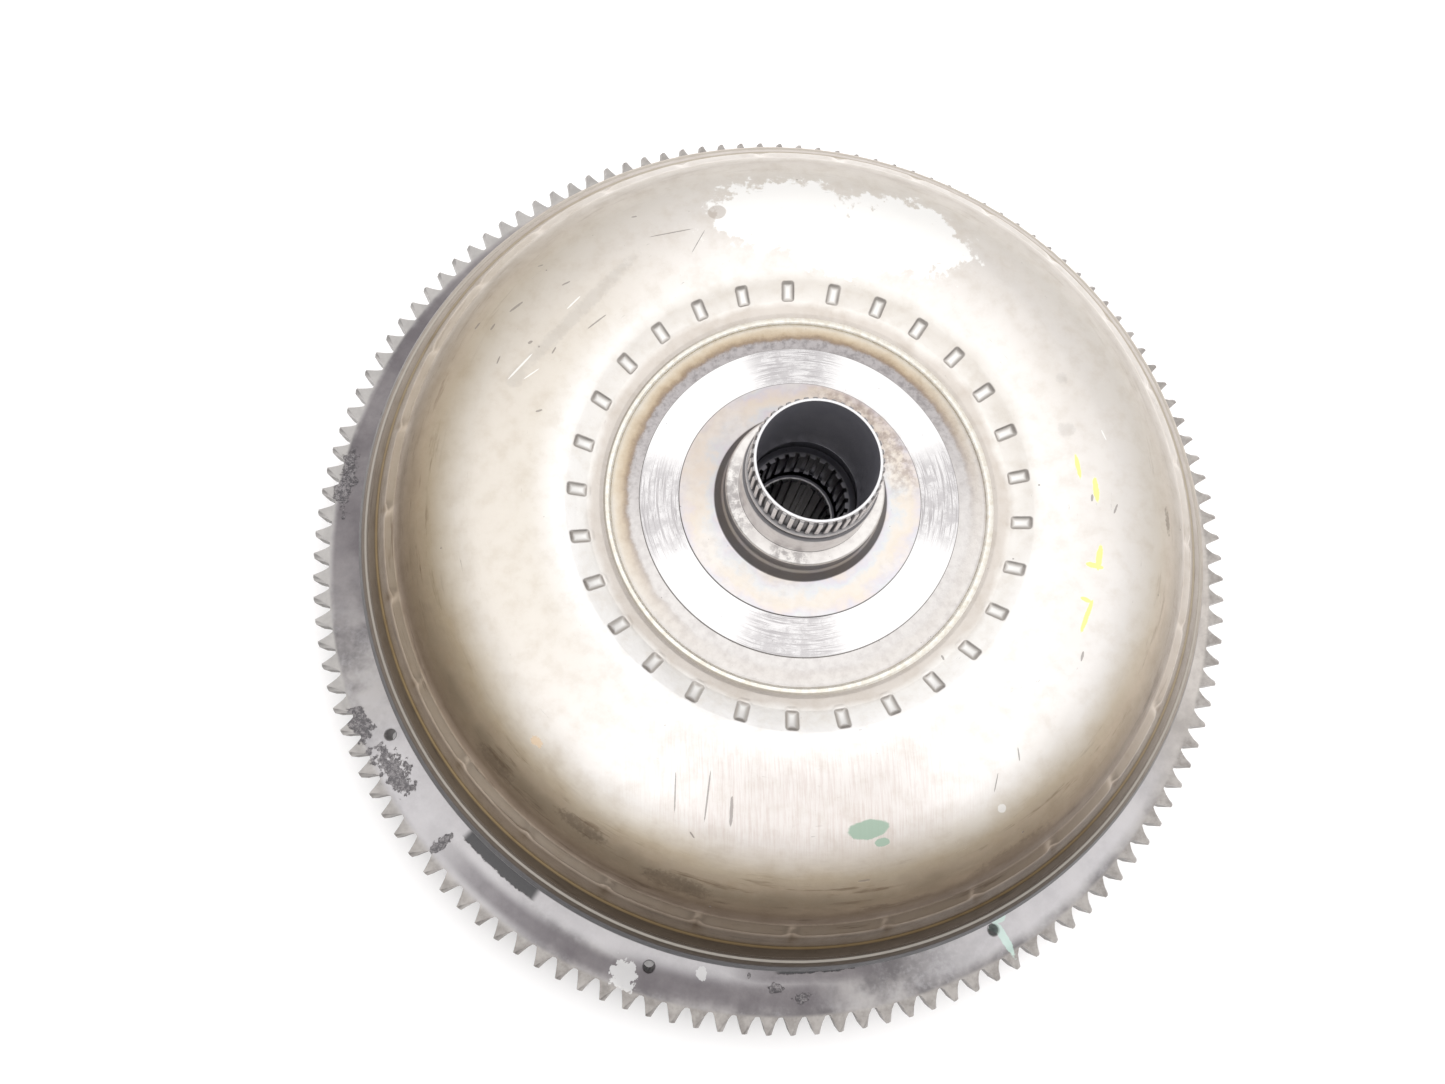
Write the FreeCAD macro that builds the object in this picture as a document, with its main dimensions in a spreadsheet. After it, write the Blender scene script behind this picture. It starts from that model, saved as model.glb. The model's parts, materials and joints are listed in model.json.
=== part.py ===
import FreeCAD, Part
import math
import os

import Sketcher

# Torque converter with a welded-on starter ring gear.
#
# The axis is Z. Z = 0 is the plane of the drive nut faces, which bolt to the engine's drive plate, and +Z
# points to the gearbox. Millimetres and degrees throughout. "Radius" is measured from the axis and
# "height" along it, so most pieces are a (radius, height) outline turned about the axis.

DOC = FreeCAD.newDocument("torque_converter")
SHEET = DOC.addObject("Spreadsheet::Sheet", "sizes")

DIMENSIONS = {
    # starter ring gear
    "gear_teeth": 131,
    "gear_module": 2.1167,
    "gear_bottom": 17.0,
    "gear_top": 26.0,
    "gear_hole_circle": 128.4,
    "gear_hole_radius": 1.55,
    "gear_hole_count": 8,
    "gear_first_space": -0.93,
    "gear_first_hole": -18.3,
    "gear_weld_leg": 4.0,
    # front cover
    "cover_face": 8.0,
    "cover_wall": 4.0,
    "skirt_radius": 120.2,
    "skirt_top": 50.8,
    "cover_corner": 10.0,
    "pilot_radius": 16.0,
    "pilot_end": 1.0,
    "pilot_spigot": 12.0,
    # drive nuts
    "nut_count": 6,
    "nut_circle": 100.0,
    "nut_radius": 11.0,
    "nut_bore": 4.25,
    "nut_weld_leg": 2.0,
    # impeller shell
    "shell_wall": 3.0,
    "shell_skirt": 116.1,
    "shell_edge": 40.0,
    "lip_radius": 113.4,
    "lip_height": 59.2,
    "crease_radius": 108.1,
    "crease_height": 65.4,
    "dome_radius": 80.0,
    "dome_height": 79.2,
    "shoulder_radius": 62.0,
    "shoulder_height": 76.6,
    "pocket_circle": 58.5,
    "pocket_height": 74.4,
    "pocket_slope": 21.0,
    "pocket_depth": 0.8,
    "blade_count": 29,
    "blade_first": -7.54,
    "valley_radius": 55.0,
    "valley_height": 73.1,
    "shell_bore": 50.9,
    "shell_bore_height": 72.5,
    # impeller hub
    "hub_bore": 14.6,
    "hub_mouth": 103.6,
    "hub_relief": 16.0,
    "hub_relief_top": 75.0,
    "hub_underside": 66.5,
    "plate_rim": 50.4,
    "plate_outer": 72.1,
    "ring_outer_radius": 42.5,
    "ring_height": 72.6,
    "ring_inner_radius": 32.2,
    "plate_inner": 73.0,
    "boss_foot": 22.1,
    "boss_radius": 20.5,
    "boss_top": 82.0,
    "journal_radius": 17.2,
    "journal_top": 92.1,
    "spline_tip": 16.1,
    "spline_root": 15.3,
    "spline_bottom": 95.4,
    "spline_top": 103.0,
    "hub_spline_teeth": 44,
    # torus: the fluid circuit of impeller and turbine
    "impeller_edge": 51.8,
    "turbine_edge": 50.2,
    "core_radius": 85.0,
    "core_ring": 15.0,
    "core_wall": 1.2,
    "core_end_radius": 73.0,
    "blade_thickness": 1.0,
    "impeller_blade_curve": 60.0,
    "turbine_blade_curve": 30.0,
    "turbine_blade_count": 31,
    "turbine_rim": 111.4,
    "turbine_wall": 2.0,
    "turbine_centre": 84.7,
    "turbine_flange": 38.0,
    "turbine_flange_bore": 44.0,
    "turbine_bend_radius": 60.5,
    # turbine hub
    "shaft_spline": 10.2,
    "shaft_spline_root": 11.1,
    "shaft_spline_teeth": 24,
    "turbine_hub_top": 54.0,
    "turbine_hub_nose": 12.1,
    "turbine_hub_front": 13.4,
    "piston_journal": 19.0,
    "seal_groove": 17.0,
    "seal_bottom": 20.0,
    "seal_height": 2.4,
    "hub_flange": 4.0,
    "rivet_circle": 50.0,
    "rivet_count": 10,
    "rivet_radius": 2.5,
    "rivet_head": 4.2,
    # stator and one-way clutch
    "stator_bottom": 44.0,
    "clutch_bottom": 46.8,
    "clutch_top": 60.8,
    "stator_top": 65.0,
    "race_radius": 20.0,
    "race_bottom": 46.0,
    "race_top": 64.0,
    "race_nose": 15.2,
    "race_nose_top": 69.5,
    "race_relief": 13.2,
    "stator_spline": 12.4,
    "stator_spline_root": 13.3,
    "stator_spline_bottom": 56.0,
    "stator_spline_teeth": 28,
    "roller_radius": 3.0,
    "roller_circle": 23.1,
    "roller_count": 12,
    "outer_race_bore": 24.2,
    "outer_race_radius": 34.0,
    "side_plate_wall": 2.0,
    "vane_count": 17,
    "vane_root": 56.5,
    "vane_tip": 68.6,
    "shroud_radius": 70.6,
    # needle thrust bearings
    "bearing_inner": 24.4,
    "bearing_outer": 35.6,
    "bearing_race_wall": 0.8,
    "needle_radius": 0.95,
    "needle_length": 8.0,
    "needle_inset": 1.6,
    "needle_count": 28,
    "bearing_gap": 0.03,
    "front_bearing_seat": 40.4,
    "rear_bearing_seat": 62.86,
    # lock-up piston and damper
    "piston_front": 14.6,
    "piston_wall": 2.0,
    "piston_bore": 19.1,
    "piston_rim": 113.8,
    "lining_inner": 92.0,
    "lining_outer": 108.0,
    "lining_wall": 1.2,
    "damper_circle": 103.2,
    "damper_height": 23.2,
    "damper_spring_count": 8,
    "damper_spring_length": 34.0,
    "damper_coil_radius": 3.8,
    "damper_wire_radius": 1.1,
    "damper_pitch": 4.5,
    "damper_split": 104.2,
    "lug_bottom": 19.4,
    "lug_height": 2.0,
    "lug_half_width": 4.0,
}


class Size:
    """A number kept together with the spreadsheet expression that gives it."""

    def __init__(self, number, text):
        self.number = number
        self.text = text

    def joined(self, other, sign, number):
        return Size(number, f"({self.text} {sign} {as_size(other).text})")

    def __add__(self, other):
        return self.joined(other, "+", self.number + as_size(other).number)

    def __sub__(self, other):
        return self.joined(other, "-", self.number - as_size(other).number)

    def __mul__(self, other):
        return self.joined(other, "*", self.number * as_size(other).number)

    def __truediv__(self, other):
        return self.joined(other, "/", self.number / as_size(other).number)


def as_size(value):
    if isinstance(value, Size):
        return value
    return Size(float(value), repr(float(value)))


def fill_sheet():
    """Writes every driving dimension into the sheet, and gives them back as Sizes."""
    sizes = {}
    for row, (name, number) in enumerate(DIMENSIONS.items(), start=1):
        SHEET.set(f"A{row}", name)
        SHEET.set(f"B{row}", str(number))
        SHEET.setAlias(f"B{row}", name)
        sizes[name] = Size(number, f"sizes.{name}")
    DOC.recompute()
    return sizes


D = fill_sheet()


def bind(item, **sizes):
    """Ties properties of a document object to the sheet."""
    for name, size in sizes.items():
        item.setExpression(name, as_size(size).text)


# ---- outlines and turned pieces ----


def arc_between(start, end, bend):
    """The arc of radius |bend| from start to end, and which of its ends is which. A positive bend turns
    anticlockwise."""
    chord = end - start
    half = chord.Length / 2
    rise = math.sqrt(max(bend * bend - half * half, 0.0))
    left = FreeCAD.Vector(-chord.y, chord.x, 0).normalize()
    side = 1 if bend > 0 else -1
    centre = (start + end) * 0.5 + left * rise * side
    first, last = (start, end) if bend > 0 else (end, start)
    angle_first = math.atan2(first.y - centre.y, first.x - centre.x)
    angle_last = math.atan2(last.y - centre.y, last.x - centre.x)
    if angle_last < angle_first:
        angle_last += 2 * math.pi
    circle = Part.Circle(centre, FreeCAD.Vector(0, 0, 1), abs(bend))
    ends = (1, 2) if bend > 0 else (2, 1)
    return Part.ArcOfCircle(circle, angle_first, angle_last), ends


def draw_outline(sketch, outline):
    """Draws a closed outline of (x, y) corners joined by straight edges. A third value makes the edge
    that ends at that corner an arc of that radius."""
    corners = [[as_size(value) for value in corner] for corner in outline]
    points = [FreeCAD.Vector(corner[0].number, corner[1].number, 0) for corner in corners]
    edges = []
    for index, corner in enumerate(corners):
        start, end = points[index - 1], points[index]
        if len(corner) == 3:
            edges.append(arc_between(start, end, corner[2].number))
        else:
            edges.append((Part.LineSegment(start, end), (1, 2)))
    sketch.addGeometry([edge for edge, ends in edges], False)
    rules = []
    texts = []
    for index, corner in enumerate(corners):
        following = (index + 1) % len(corners)
        end = edges[index][1][1]
        rules.append(Sketcher.Constraint("Coincident", index, end, following, edges[following][1][0]))
        texts.append(None)
        for kind, axis, size in (("DistanceX", -2, corner[0]), ("DistanceY", -1, corner[1])):
            if abs(size.number) < 1e-9:
                rules.append(Sketcher.Constraint("PointOnObject", index, end, axis))
                texts.append(None)
            else:
                rules.append(Sketcher.Constraint(kind, -1, 1, index, end, size.number))
                texts.append(size.text)
        if len(corner) == 3:
            rules.append(Sketcher.Constraint("Radius", index, abs(corner[2].number)))
            texts.append(corner[2].text if corner[2].number > 0 else f"-1 * {corner[2].text}")
    sketch.addConstraint(rules)
    for index, text in enumerate(texts):
        if text:
            sketch.setExpression(f"Constraints[{index}]", text)


def draw_circle(sketch, x, radius):
    """Draws a circle whose centre is on the sketch's X axis."""
    centre = FreeCAD.Vector(x.number, 0, 0)
    sketch.addGeometry(Part.Circle(centre, FreeCAD.Vector(0, 0, 1), radius.number), False)
    sketch.addConstraint([
        Sketcher.Constraint("Radius", 0, radius.number),
        Sketcher.Constraint("DistanceX", -1, 1, 0, 3, x.number),
        Sketcher.Constraint("PointOnObject", 0, 3, -1),
    ])
    sketch.setExpression("Constraints[0]", radius.text)
    sketch.setExpression("Constraints[1]", x.text)


def new_sketch(body, name, plane, height=0.0, tilt=0.0, radius=0.0, first=0.0):
    """A sketch on one of the body's own origin planes, lifted to a height, moved out by a radius, tilted
    about its own Y and then turned about the axis to the first angle."""
    sketch = body.newObject("Sketcher::SketchObject", name)
    support = next(item for item in body.Origin.OriginFeatures if item.Role == plane)
    sketch.AttachmentSupport = (support, "")
    sketch.MapMode = "FlatFace"
    height, tilt, radius, first = as_size(height), as_size(tilt), as_size(radius), as_size(first)
    tilted = FreeCAD.Rotation(FreeCAD.Vector(0, 1, 0), -tilt.number)
    spin = FreeCAD.Rotation(FreeCAD.Vector(0, 0, 1), first.number)
    place = spin.multVec(FreeCAD.Vector(radius.number, 0, height.number))
    sketch.AttachmentOffset = FreeCAD.Placement(place, spin * tilted)
    if height.number:
        sketch.setExpression("AttachmentOffset.Base.z", height.text)
    if radius.number:
        sketch.setExpression("AttachmentOffset.Base.x", f"{radius.text} * cos({first.text} * 1 deg)")
        sketch.setExpression("AttachmentOffset.Base.y", f"{radius.text} * sin({first.text} * 1 deg)")
    return sketch


def turned(label, outline):
    """A body made by turning a (radius, height) outline once about the axis."""
    body = DOC.addObject("PartDesign::Body", label)
    sketch = new_sketch(body, label + "_section", "XZ_Plane")
    draw_outline(sketch, outline)
    turn = body.newObject("PartDesign::Revolution", label + "_turn")
    turn.Profile = sketch
    turn.ReferenceAxis = (sketch, ["V_Axis"])
    turn.Angle = 360
    body.Tip = turn
    DOC.recompute()
    return body


def rectangle(left, right, bottom, top):
    """Outline of a ring with a plain rectangular section."""
    return [(left, bottom), (right, bottom), (right, top), (left, top)]


def work_around(body, kind, name, outline, count, height, depth, **placing):
    """Adds (PartDesign::Pad) or cuts (PartDesign::Pocket) an outline drawn across the axis, upwards from a
    height and count times around it. The outline is a list of corners, or the (x, radius) of a circle.
    Placing may hold the tilt, radius and first angle of new_sketch."""
    before = body.Shape.Volume
    sketch = new_sketch(body, name + "_outline", "XY_Plane", height, **placing)
    if isinstance(outline, tuple):
        draw_circle(sketch, *outline)
    else:
        draw_outline(sketch, outline)
    work = body.newObject(kind, name)
    work.Profile = sketch
    cutting = kind == "PartDesign::Pocket"
    work.Reversed = cutting
    bind(work, Length=depth)
    body.Tip = work
    DOC.recompute()
    pattern = body.newObject("PartDesign::PolarPattern", name + "_pattern")
    pattern.Originals = [work]
    axis = next(item for item in body.Origin.OriginFeatures if item.Role == "Z_Axis")
    pattern.Axis = (axis, [""])
    pattern.Angle = 360
    bind(pattern, Occurrences=count)
    body.Tip = pattern
    DOC.recompute()
    changed = body.Shape.Volume - before
    if changed * (-1 if cutting else 1) <= 0:
        raise RuntimeError(f"{name} changes nothing")
    return body


def cut_around(body, name, outline, count, height, depth, **placing):
    return work_around(body, "PartDesign::Pocket", name, outline, count, height, depth, **placing)


def add_around(body, name, outline, count, height, depth):
    return work_around(body, "PartDesign::Pad", name, outline, count, height, depth)


def block(left, right, half_width):
    """Outline of a rectangle from left to right along X, as wide each side of the X axis."""
    return [(left, half_width * -1), (right, half_width * -1), (right, half_width), (left, half_width)]


def gap(inner, outer, inner_half, outer_half):
    """Outline of one gap between teeth, symmetric about X, with its own half width at each end."""
    return [(inner, inner_half * -1), (outer, outer_half * -1), (outer, outer_half), (inner, inner_half)]


# ---- groups of equal solids ----


def ring_of(label, source, count, first_angle=0.0):
    """One node of equal separate solids, spaced evenly around the axis."""
    DOC.recompute()
    step = 360.0 / as_size(count).number
    copies = []
    for index in range(int(as_size(count).number)):
        copy = source.Shape.copy()
        copy.rotate(FreeCAD.Vector(0, 0, 0), FreeCAD.Vector(0, 0, 1), first_angle + index * step)
        copies.append(copy)
    group = DOC.addObject("Part::Feature", label)
    group.Shape = Part.Compound(copies)
    group.Placement = FreeCAD.Placement()
    return group


def cylinder(label, radius, height, x=0.0, z=0.0, lying=False):
    """A cylinder that stands on (x, 0, z), or lies from there along +X."""
    item = DOC.addObject("Part::Cylinder", label)
    bind(item, Radius=radius, Height=height)
    x, z = as_size(x), as_size(z)
    turn = FreeCAD.Rotation(FreeCAD.Vector(0, 1, 0), 90 if lying else 0)
    item.Placement = FreeCAD.Placement(FreeCAD.Vector(x.number, 0, z.number), turn)
    item.setExpression("Placement.Base.x", x.text)
    item.setExpression("Placement.Base.z", z.text)
    return item


def combined(kind, label, base, tool):
    """Part::Cut, Part::Fuse or Part::Common of two objects."""
    item = DOC.addObject(kind, label)
    item.Base = base
    item.Tool = tool
    return item


# ---- housing: front cover, ring gear, impeller ----


def front_cover():
    face = D["cover_face"]
    inside = face + D["cover_wall"]
    skirt = D["skirt_radius"]
    wall_in = skirt - D["cover_wall"]
    corner = D["cover_corner"]
    corner_in = corner - D["cover_wall"]
    return turned("front_cover", [
        (D["pilot_spigot"], face),
        (skirt - corner, face),
        (skirt, face + corner, corner),
        (skirt, D["skirt_top"]),
        (wall_in, D["skirt_top"]),
        (wall_in, inside + corner_in),
        (wall_in - corner_in, inside, corner_in * -1),
        (D["pilot_spigot"], inside),
    ])


def pilot_boss():
    face = D["cover_face"]
    chamfer = 1.5
    return turned("pilot_boss", [
        (0, D["pilot_end"]),
        (D["pilot_radius"] - chamfer, D["pilot_end"]),
        (D["pilot_radius"], D["pilot_end"] + chamfer),
        (D["pilot_radius"], face),
        (D["pilot_spigot"], face),
        (D["pilot_spigot"], face + D["cover_wall"]),
        (0, face + D["cover_wall"]),
    ])


def drive_nuts():
    blank = cylinder("drive_nut_blank", D["nut_radius"], D["cover_face"], x=D["nut_circle"])
    bore = cylinder("drive_nut_bore", D["nut_bore"], D["cover_face"], x=D["nut_circle"])
    nut = combined("Part::Cut", "drive_nut_one", blank, bore)
    return ring_of("drive_nuts", nut, D["nut_count"])


def drive_nut_welds():
    leg = D["nut_weld_leg"]
    bead = DOC.addObject("Part::Cone", "drive_nut_bead")
    bind(bead, Radius1=D["nut_radius"], Radius2=D["nut_radius"] + leg, Height=leg)
    bead.setExpression("Placement.Base.x", D["nut_circle"].text)
    bead.setExpression("Placement.Base.z", (D["cover_face"] - leg).text)
    core = cylinder("drive_nut_bead_core", D["nut_radius"], leg, x=D["nut_circle"], z=D["cover_face"] - leg)
    weld = combined("Part::Cut", "drive_nut_weld_one", bead, core)
    return ring_of("drive_nut_welds", weld, D["nut_count"])


def ring_gear():
    """Full-depth 20 degree teeth, with small holes through the web."""
    module = D["gear_module"]
    tip = module * (D["gear_teeth"] + 2) / 2
    root = module * (D["gear_teeth"] - 2.5) / 2
    chamfer = 0.6
    overshoot = 1.0
    half_gap_at_root = module * 0.36
    half_gap_outside = module * 1.42
    body = turned("ring_gear", [
        (D["skirt_radius"], D["gear_bottom"]),
        (tip - chamfer, D["gear_bottom"]),
        (tip, D["gear_bottom"] + chamfer),
        (tip, D["gear_top"] - chamfer),
        (tip - chamfer, D["gear_top"]),
        (D["skirt_radius"], D["gear_top"]),
    ])
    start = D["gear_bottom"] - overshoot
    through = D["gear_top"] - D["gear_bottom"] + 2 * overshoot
    space = gap(root, tip + overshoot, half_gap_at_root, half_gap_outside)
    cut_around(body, "tooth_space", space, D["gear_teeth"], start, through, first=D["gear_first_space"])
    hole = (D["gear_hole_circle"], D["gear_hole_radius"])
    cut_around(body, "web_hole", hole, D["gear_hole_count"], start, through, first=D["gear_first_hole"])
    return body


def ring_gear_welds():
    """Fillet weld runs under the ring gear, against the skirt, clear of its small holes."""
    run_count = 8
    run_angle = 18.0
    first_run = D["gear_first_hole"].number + (180.0 / run_count) - run_angle / 2
    leg = D["gear_weld_leg"]
    run = DOC.addObject("Part::Cone", "gear_weld_cone")
    bind(run, Radius1=D["skirt_radius"], Radius2=D["skirt_radius"] + leg, Height=leg)
    run.Angle = run_angle
    run.setExpression("Placement.Base.z", (D["gear_bottom"] - leg).text)
    core = cylinder("gear_weld_core", D["skirt_radius"], leg, z=D["gear_bottom"] - leg)
    weld = combined("Part::Cut", "gear_weld_one", run, core)
    return ring_of("ring_gear_welds", weld, run_count, first_run)


def dome_bends():
    """Radii of the dome's outer and inner arcs, both level at the dome's highest circle."""
    outward = D["crease_radius"] - D["dome_radius"]
    fall = D["dome_height"] - D["crease_height"]
    inward = D["dome_radius"] - D["shoulder_radius"]
    dip = D["dome_height"] - D["shoulder_height"]
    outer = (outward * outward + fall * fall) / (fall * 2)
    inner = (inward * inward + dip * dip) / (dip * 2)
    return outer, inner


def shell_inside():
    """The shell's inner surface from rim to bore, one wall inside the outer surface."""
    wall = D["shell_wall"]
    outer, inner = dome_bends()
    outward = D["crease_radius"] - D["dome_radius"]
    inward = D["dome_radius"] - D["shoulder_radius"]
    crease_centre = D["dome_height"] - outer
    shoulder_centre = D["dome_height"] - inner
    crease_in = (
        D["dome_radius"] + outward * (outer - wall) / outer,
        crease_centre + (D["crease_height"] - crease_centre) * (outer - wall) / outer,
    )
    shoulder_in = (
        D["dome_radius"] - inward * (inner - wall) / inner,
        shoulder_centre + (D["shoulder_height"] - shoulder_centre) * (inner - wall) / inner,
        inner - wall,
    )
    return [
        (D["shell_skirt"] - wall, D["lip_height"] - 4),
        crease_in,
        (D["dome_radius"], D["dome_height"] - wall, outer - wall),
        shoulder_in,
        (D["valley_radius"] + 1.2, D["valley_height"] - wall),
    ]


def impeller_shell():
    """Pressed bowl, with a shallow pocket over the inner tab of each blade."""
    outer, inner = dome_bends()
    wall = D["shell_wall"]
    lip_fall = 2.6
    body = turned("impeller_shell", [
        (D["shell_skirt"] - wall, D["shell_edge"]),
        (D["shell_skirt"], D["shell_edge"]),
        (D["shell_skirt"], D["lip_height"] - lip_fall),
        (D["lip_radius"], D["lip_height"]),
        (D["crease_radius"], D["crease_height"]),
        (D["dome_radius"], D["dome_height"], outer),
        (D["shoulder_radius"], D["shoulder_height"], inner),
        (D["valley_radius"], D["valley_height"]),
        (D["shell_bore"], D["shell_bore_height"]),
        (D["shell_bore"], D["shell_bore_height"] - wall),
    ] + reversed_arcs(shell_inside()))
    half_length = 2.65
    half_width = 1.7
    clear_above = 4.0
    pocket = block(-half_length, half_length, half_width)
    return cut_around(
        body, "tab_pocket", pocket, D["blade_count"], D["pocket_height"] - D["pocket_depth"], clear_above,
        tilt=D["pocket_slope"], radius=D["pocket_circle"], first=D["blade_first"],
    )


def reversed_arcs(outline):
    """The same open outline walked the other way, with its arcs turning the other way."""
    backward = []
    for index in range(len(outline) - 1, -1, -1):
        corner = list(outline[index][:2])
        if index + 1 < len(outline) and len(outline[index + 1]) == 3:
            corner.append(outline[index + 1][2] * -1)
        backward.append(tuple(corner))
    return backward


def rim_weld():
    return turned("rim_weld", [
        (D["shell_skirt"], D["skirt_top"]),
        (D["skirt_radius"], D["skirt_top"]),
        (D["shell_skirt"] + 0.9, D["skirt_top"] + 5.0, 9.0),
        (D["shell_skirt"], D["skirt_top"] + 5.7),
    ])


def impeller_hub():
    """Weld flange, pump journal and splined drive tube, in one forging."""
    chamfer = 0.6
    body = turned("impeller_hub", [
        (D["hub_relief"], D["hub_underside"]),
        (38.0, D["hub_underside"]),
        (40.0, D["shell_bore_height"] - D["shell_wall"]),
        (D["plate_rim"], D["shell_bore_height"] - D["shell_wall"]),
        (D["plate_rim"], D["plate_outer"]),
        (D["ring_outer_radius"], D["plate_outer"]),
        (D["ring_outer_radius"], D["ring_height"]),
        (D["ring_inner_radius"], D["ring_height"]),
        (D["ring_inner_radius"], D["plate_inner"]),
        (D["boss_foot"], D["plate_inner"]),
        (D["boss_foot"], D["plate_inner"] + 1.6),
        (D["boss_radius"], D["plate_inner"] + 4.0, -3.0),
        (D["boss_radius"], D["boss_top"] - chamfer),
        (D["boss_radius"] - chamfer, D["boss_top"]),
        (D["journal_radius"], D["boss_top"]),
        (D["journal_radius"], D["journal_top"] - chamfer),
        (D["journal_radius"] - chamfer, D["journal_top"]),
        (D["spline_root"], D["journal_top"]),
        (D["spline_root"], D["spline_bottom"] - 2.0),
        (D["spline_tip"] + 0.4, D["spline_bottom"] - 2.0),
        (D["spline_tip"] + 0.4, D["spline_bottom"] - 1.0),
        (D["spline_root"], D["spline_bottom"] - 1.0),
        (D["spline_root"], D["spline_bottom"]),
        (D["spline_tip"], D["spline_bottom"]),
        (D["spline_tip"], D["spline_top"] - 0.4),
        (D["spline_root"], D["spline_top"]),
        (D["spline_root"], D["hub_mouth"]),
        (D["hub_bore"], D["hub_mouth"]),
        (D["hub_bore"], D["hub_relief_top"]),
        (D["hub_relief"], D["hub_relief_top"]),
    ])
    pitch = D["spline_tip"] * math.pi / D["hub_spline_teeth"]
    space = gap(D["spline_root"], D["spline_tip"] + 0.6, pitch * 0.42, pitch * 0.62)
    return cut_around(
        body, "drive_spline_space", space, D["hub_spline_teeth"], D["spline_bottom"],
        D["hub_mouth"] - D["spline_bottom"],
    )


def hub_weld():
    """Bead that closes the joint between hub flange and shell."""
    return turned("hub_weld", [
        (D["plate_rim"], D["shell_bore_height"] - D["shell_wall"]),
        (D["shell_bore"], D["shell_bore_height"] - D["shell_wall"]),
        (D["shell_bore"], D["shell_bore_height"]),
        (D["plate_rim"], D["plate_outer"], 0.45),
    ])


def core_section(edge, wall, way, outer):
    """Outer or inner curve of a core ring, from its rim at the given edge height to its inner end. Way is
    1 for the impeller's, which rises from the edge, and -1 for the turbine's."""
    ring = D["core_ring"] - (0 if outer else wall)
    reach = (D["core_radius"] - D["core_end_radius"]) * ring / D["core_ring"]
    rise = math.sqrt(D["core_ring"].number ** 2 - (D["core_radius"] - D["core_end_radius"]).number ** 2)
    end_height = edge + ring * (way * rise / D["core_ring"].number)
    return [
        (D["core_radius"] + ring, edge),
        (D["core_radius"], edge + ring * way, ring * way),
        (D["core_radius"] - reach, end_height, ring * way),
    ]


def core_ring(label, edge, way):
    outer = core_section(edge, D["core_wall"], way, True)
    inner = core_section(edge, D["core_wall"], way, False)
    return turned(label, outer + reversed_arcs(inner))


def curved_slab(label, curve, lowest, highest):
    """A thin slab that runs outwards along +X, curved across its height, to be trimmed into a blade."""
    thickness = D["blade_thickness"]
    middle = (lowest + highest) / 2
    tubes = []
    for name, radius in (("outer", curve + thickness / 2), ("inner", curve - thickness / 2)):
        tube = cylinder(f"{label}_{name}", radius, 70, x=50, z=middle, lying=True)
        tube.setExpression("Placement.Base.y", curve.text)
        tubes.append(tube)
    sheet = combined("Part::Cut", label + "_sheet", *tubes)
    limits = DOC.addObject("Part::Box", label + "_limits")
    bind(limits, Length=70, Width=curve, Height=highest - lowest)
    limits.setExpression("Placement.Base.x", "50")
    limits.setExpression("Placement.Base.y", (thickness * -1).text)
    limits.setExpression("Placement.Base.z", lowest.text)
    return combined("Part::Common", label + "_slab", sheet, limits)


def blades(label, passage, curve, lowest, highest, count, first_angle=0.0):
    """One node of equal blades: a curved slab trimmed to the passage between shell and core ring."""
    slab = curved_slab(label, curve, lowest, highest)
    blade = combined("Part::Common", label + "_one", passage, slab)
    return ring_of(label, blade, count, first_angle)


def impeller_blades():
    edge = D["impeller_edge"]
    core = core_section(edge, D["core_wall"], 1, True)
    shell = shell_inside()
    trim = 2.2
    passage = turned("impeller_passage", [
        (D["shell_skirt"] - D["shell_wall"], edge),
        *shell[:-1],
        (shell[-1][0] + trim, shell[-1][1] + trim / 2),
        *reversed_arcs(core),
    ])
    return blades(
        "impeller_blades", passage, D["impeller_blade_curve"], edge, D["dome_height"], D["blade_count"],
        D["blade_first"].number,
    )


# ---- turbine ----


def turbine_section(wall):
    """The turbine shell's curve from rim to flange; wall is 0 for its outer surface and the wall's
    thickness for its inner one."""
    edge = D["turbine_edge"]
    centre = D["turbine_centre"]
    depth = D["turbine_rim"] - centre
    inner_depth = depth - D["turbine_wall"]
    rise = D["turbine_flange"] - (edge - inner_depth)
    reach = centre - D["turbine_bend_radius"]
    bend = (reach * reach + rise * rise) / (rise * 2)
    scale = (bend + D["turbine_wall"] - wall) / bend
    bend_centre = edge - inner_depth + bend
    return [
        (D["turbine_rim"] - wall, edge),
        (centre, edge - depth + wall, (depth - wall) * -1),
        (centre - reach * scale, bend_centre - (bend - rise) * scale, (bend + D["turbine_wall"] - wall) * -1),
    ]


def rivet_holes(body, name, bottom, wall):
    overshoot = 1.0
    hole = (D["rivet_circle"], D["rivet_radius"])
    return cut_around(body, name, hole, D["rivet_count"], bottom - overshoot, wall + 2 * overshoot)


def turbine_shell():
    outer = turbine_section(as_size(0.0))
    inner = turbine_section(D["turbine_wall"])
    flange_bottom = D["turbine_flange"] - D["turbine_wall"]
    body = turned("turbine_shell", [
        *outer,
        (outer[-1][0] - 1.2, flange_bottom),
        (D["turbine_flange_bore"], flange_bottom),
        (D["turbine_flange_bore"], D["turbine_flange"]),
        *reversed_arcs(inner),
    ])
    return rivet_holes(body, "shell_rivet_hole", flange_bottom, D["turbine_wall"])


def turbine_blades():
    edge = D["turbine_edge"]
    core = core_section(edge, D["core_wall"], -1, True)
    lowest = edge - (D["turbine_rim"] - D["turbine_centre"])
    inner = turbine_section(D["turbine_wall"])
    passage = turned("turbine_passage", [
        *inner,
        (inner[-1][0], core[-1][1]),
        *reversed_arcs(core),
    ])
    return blades(
        "turbine_blades", passage, D["turbine_blade_curve"], lowest, edge, D["turbine_blade_count"],
    )


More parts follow.
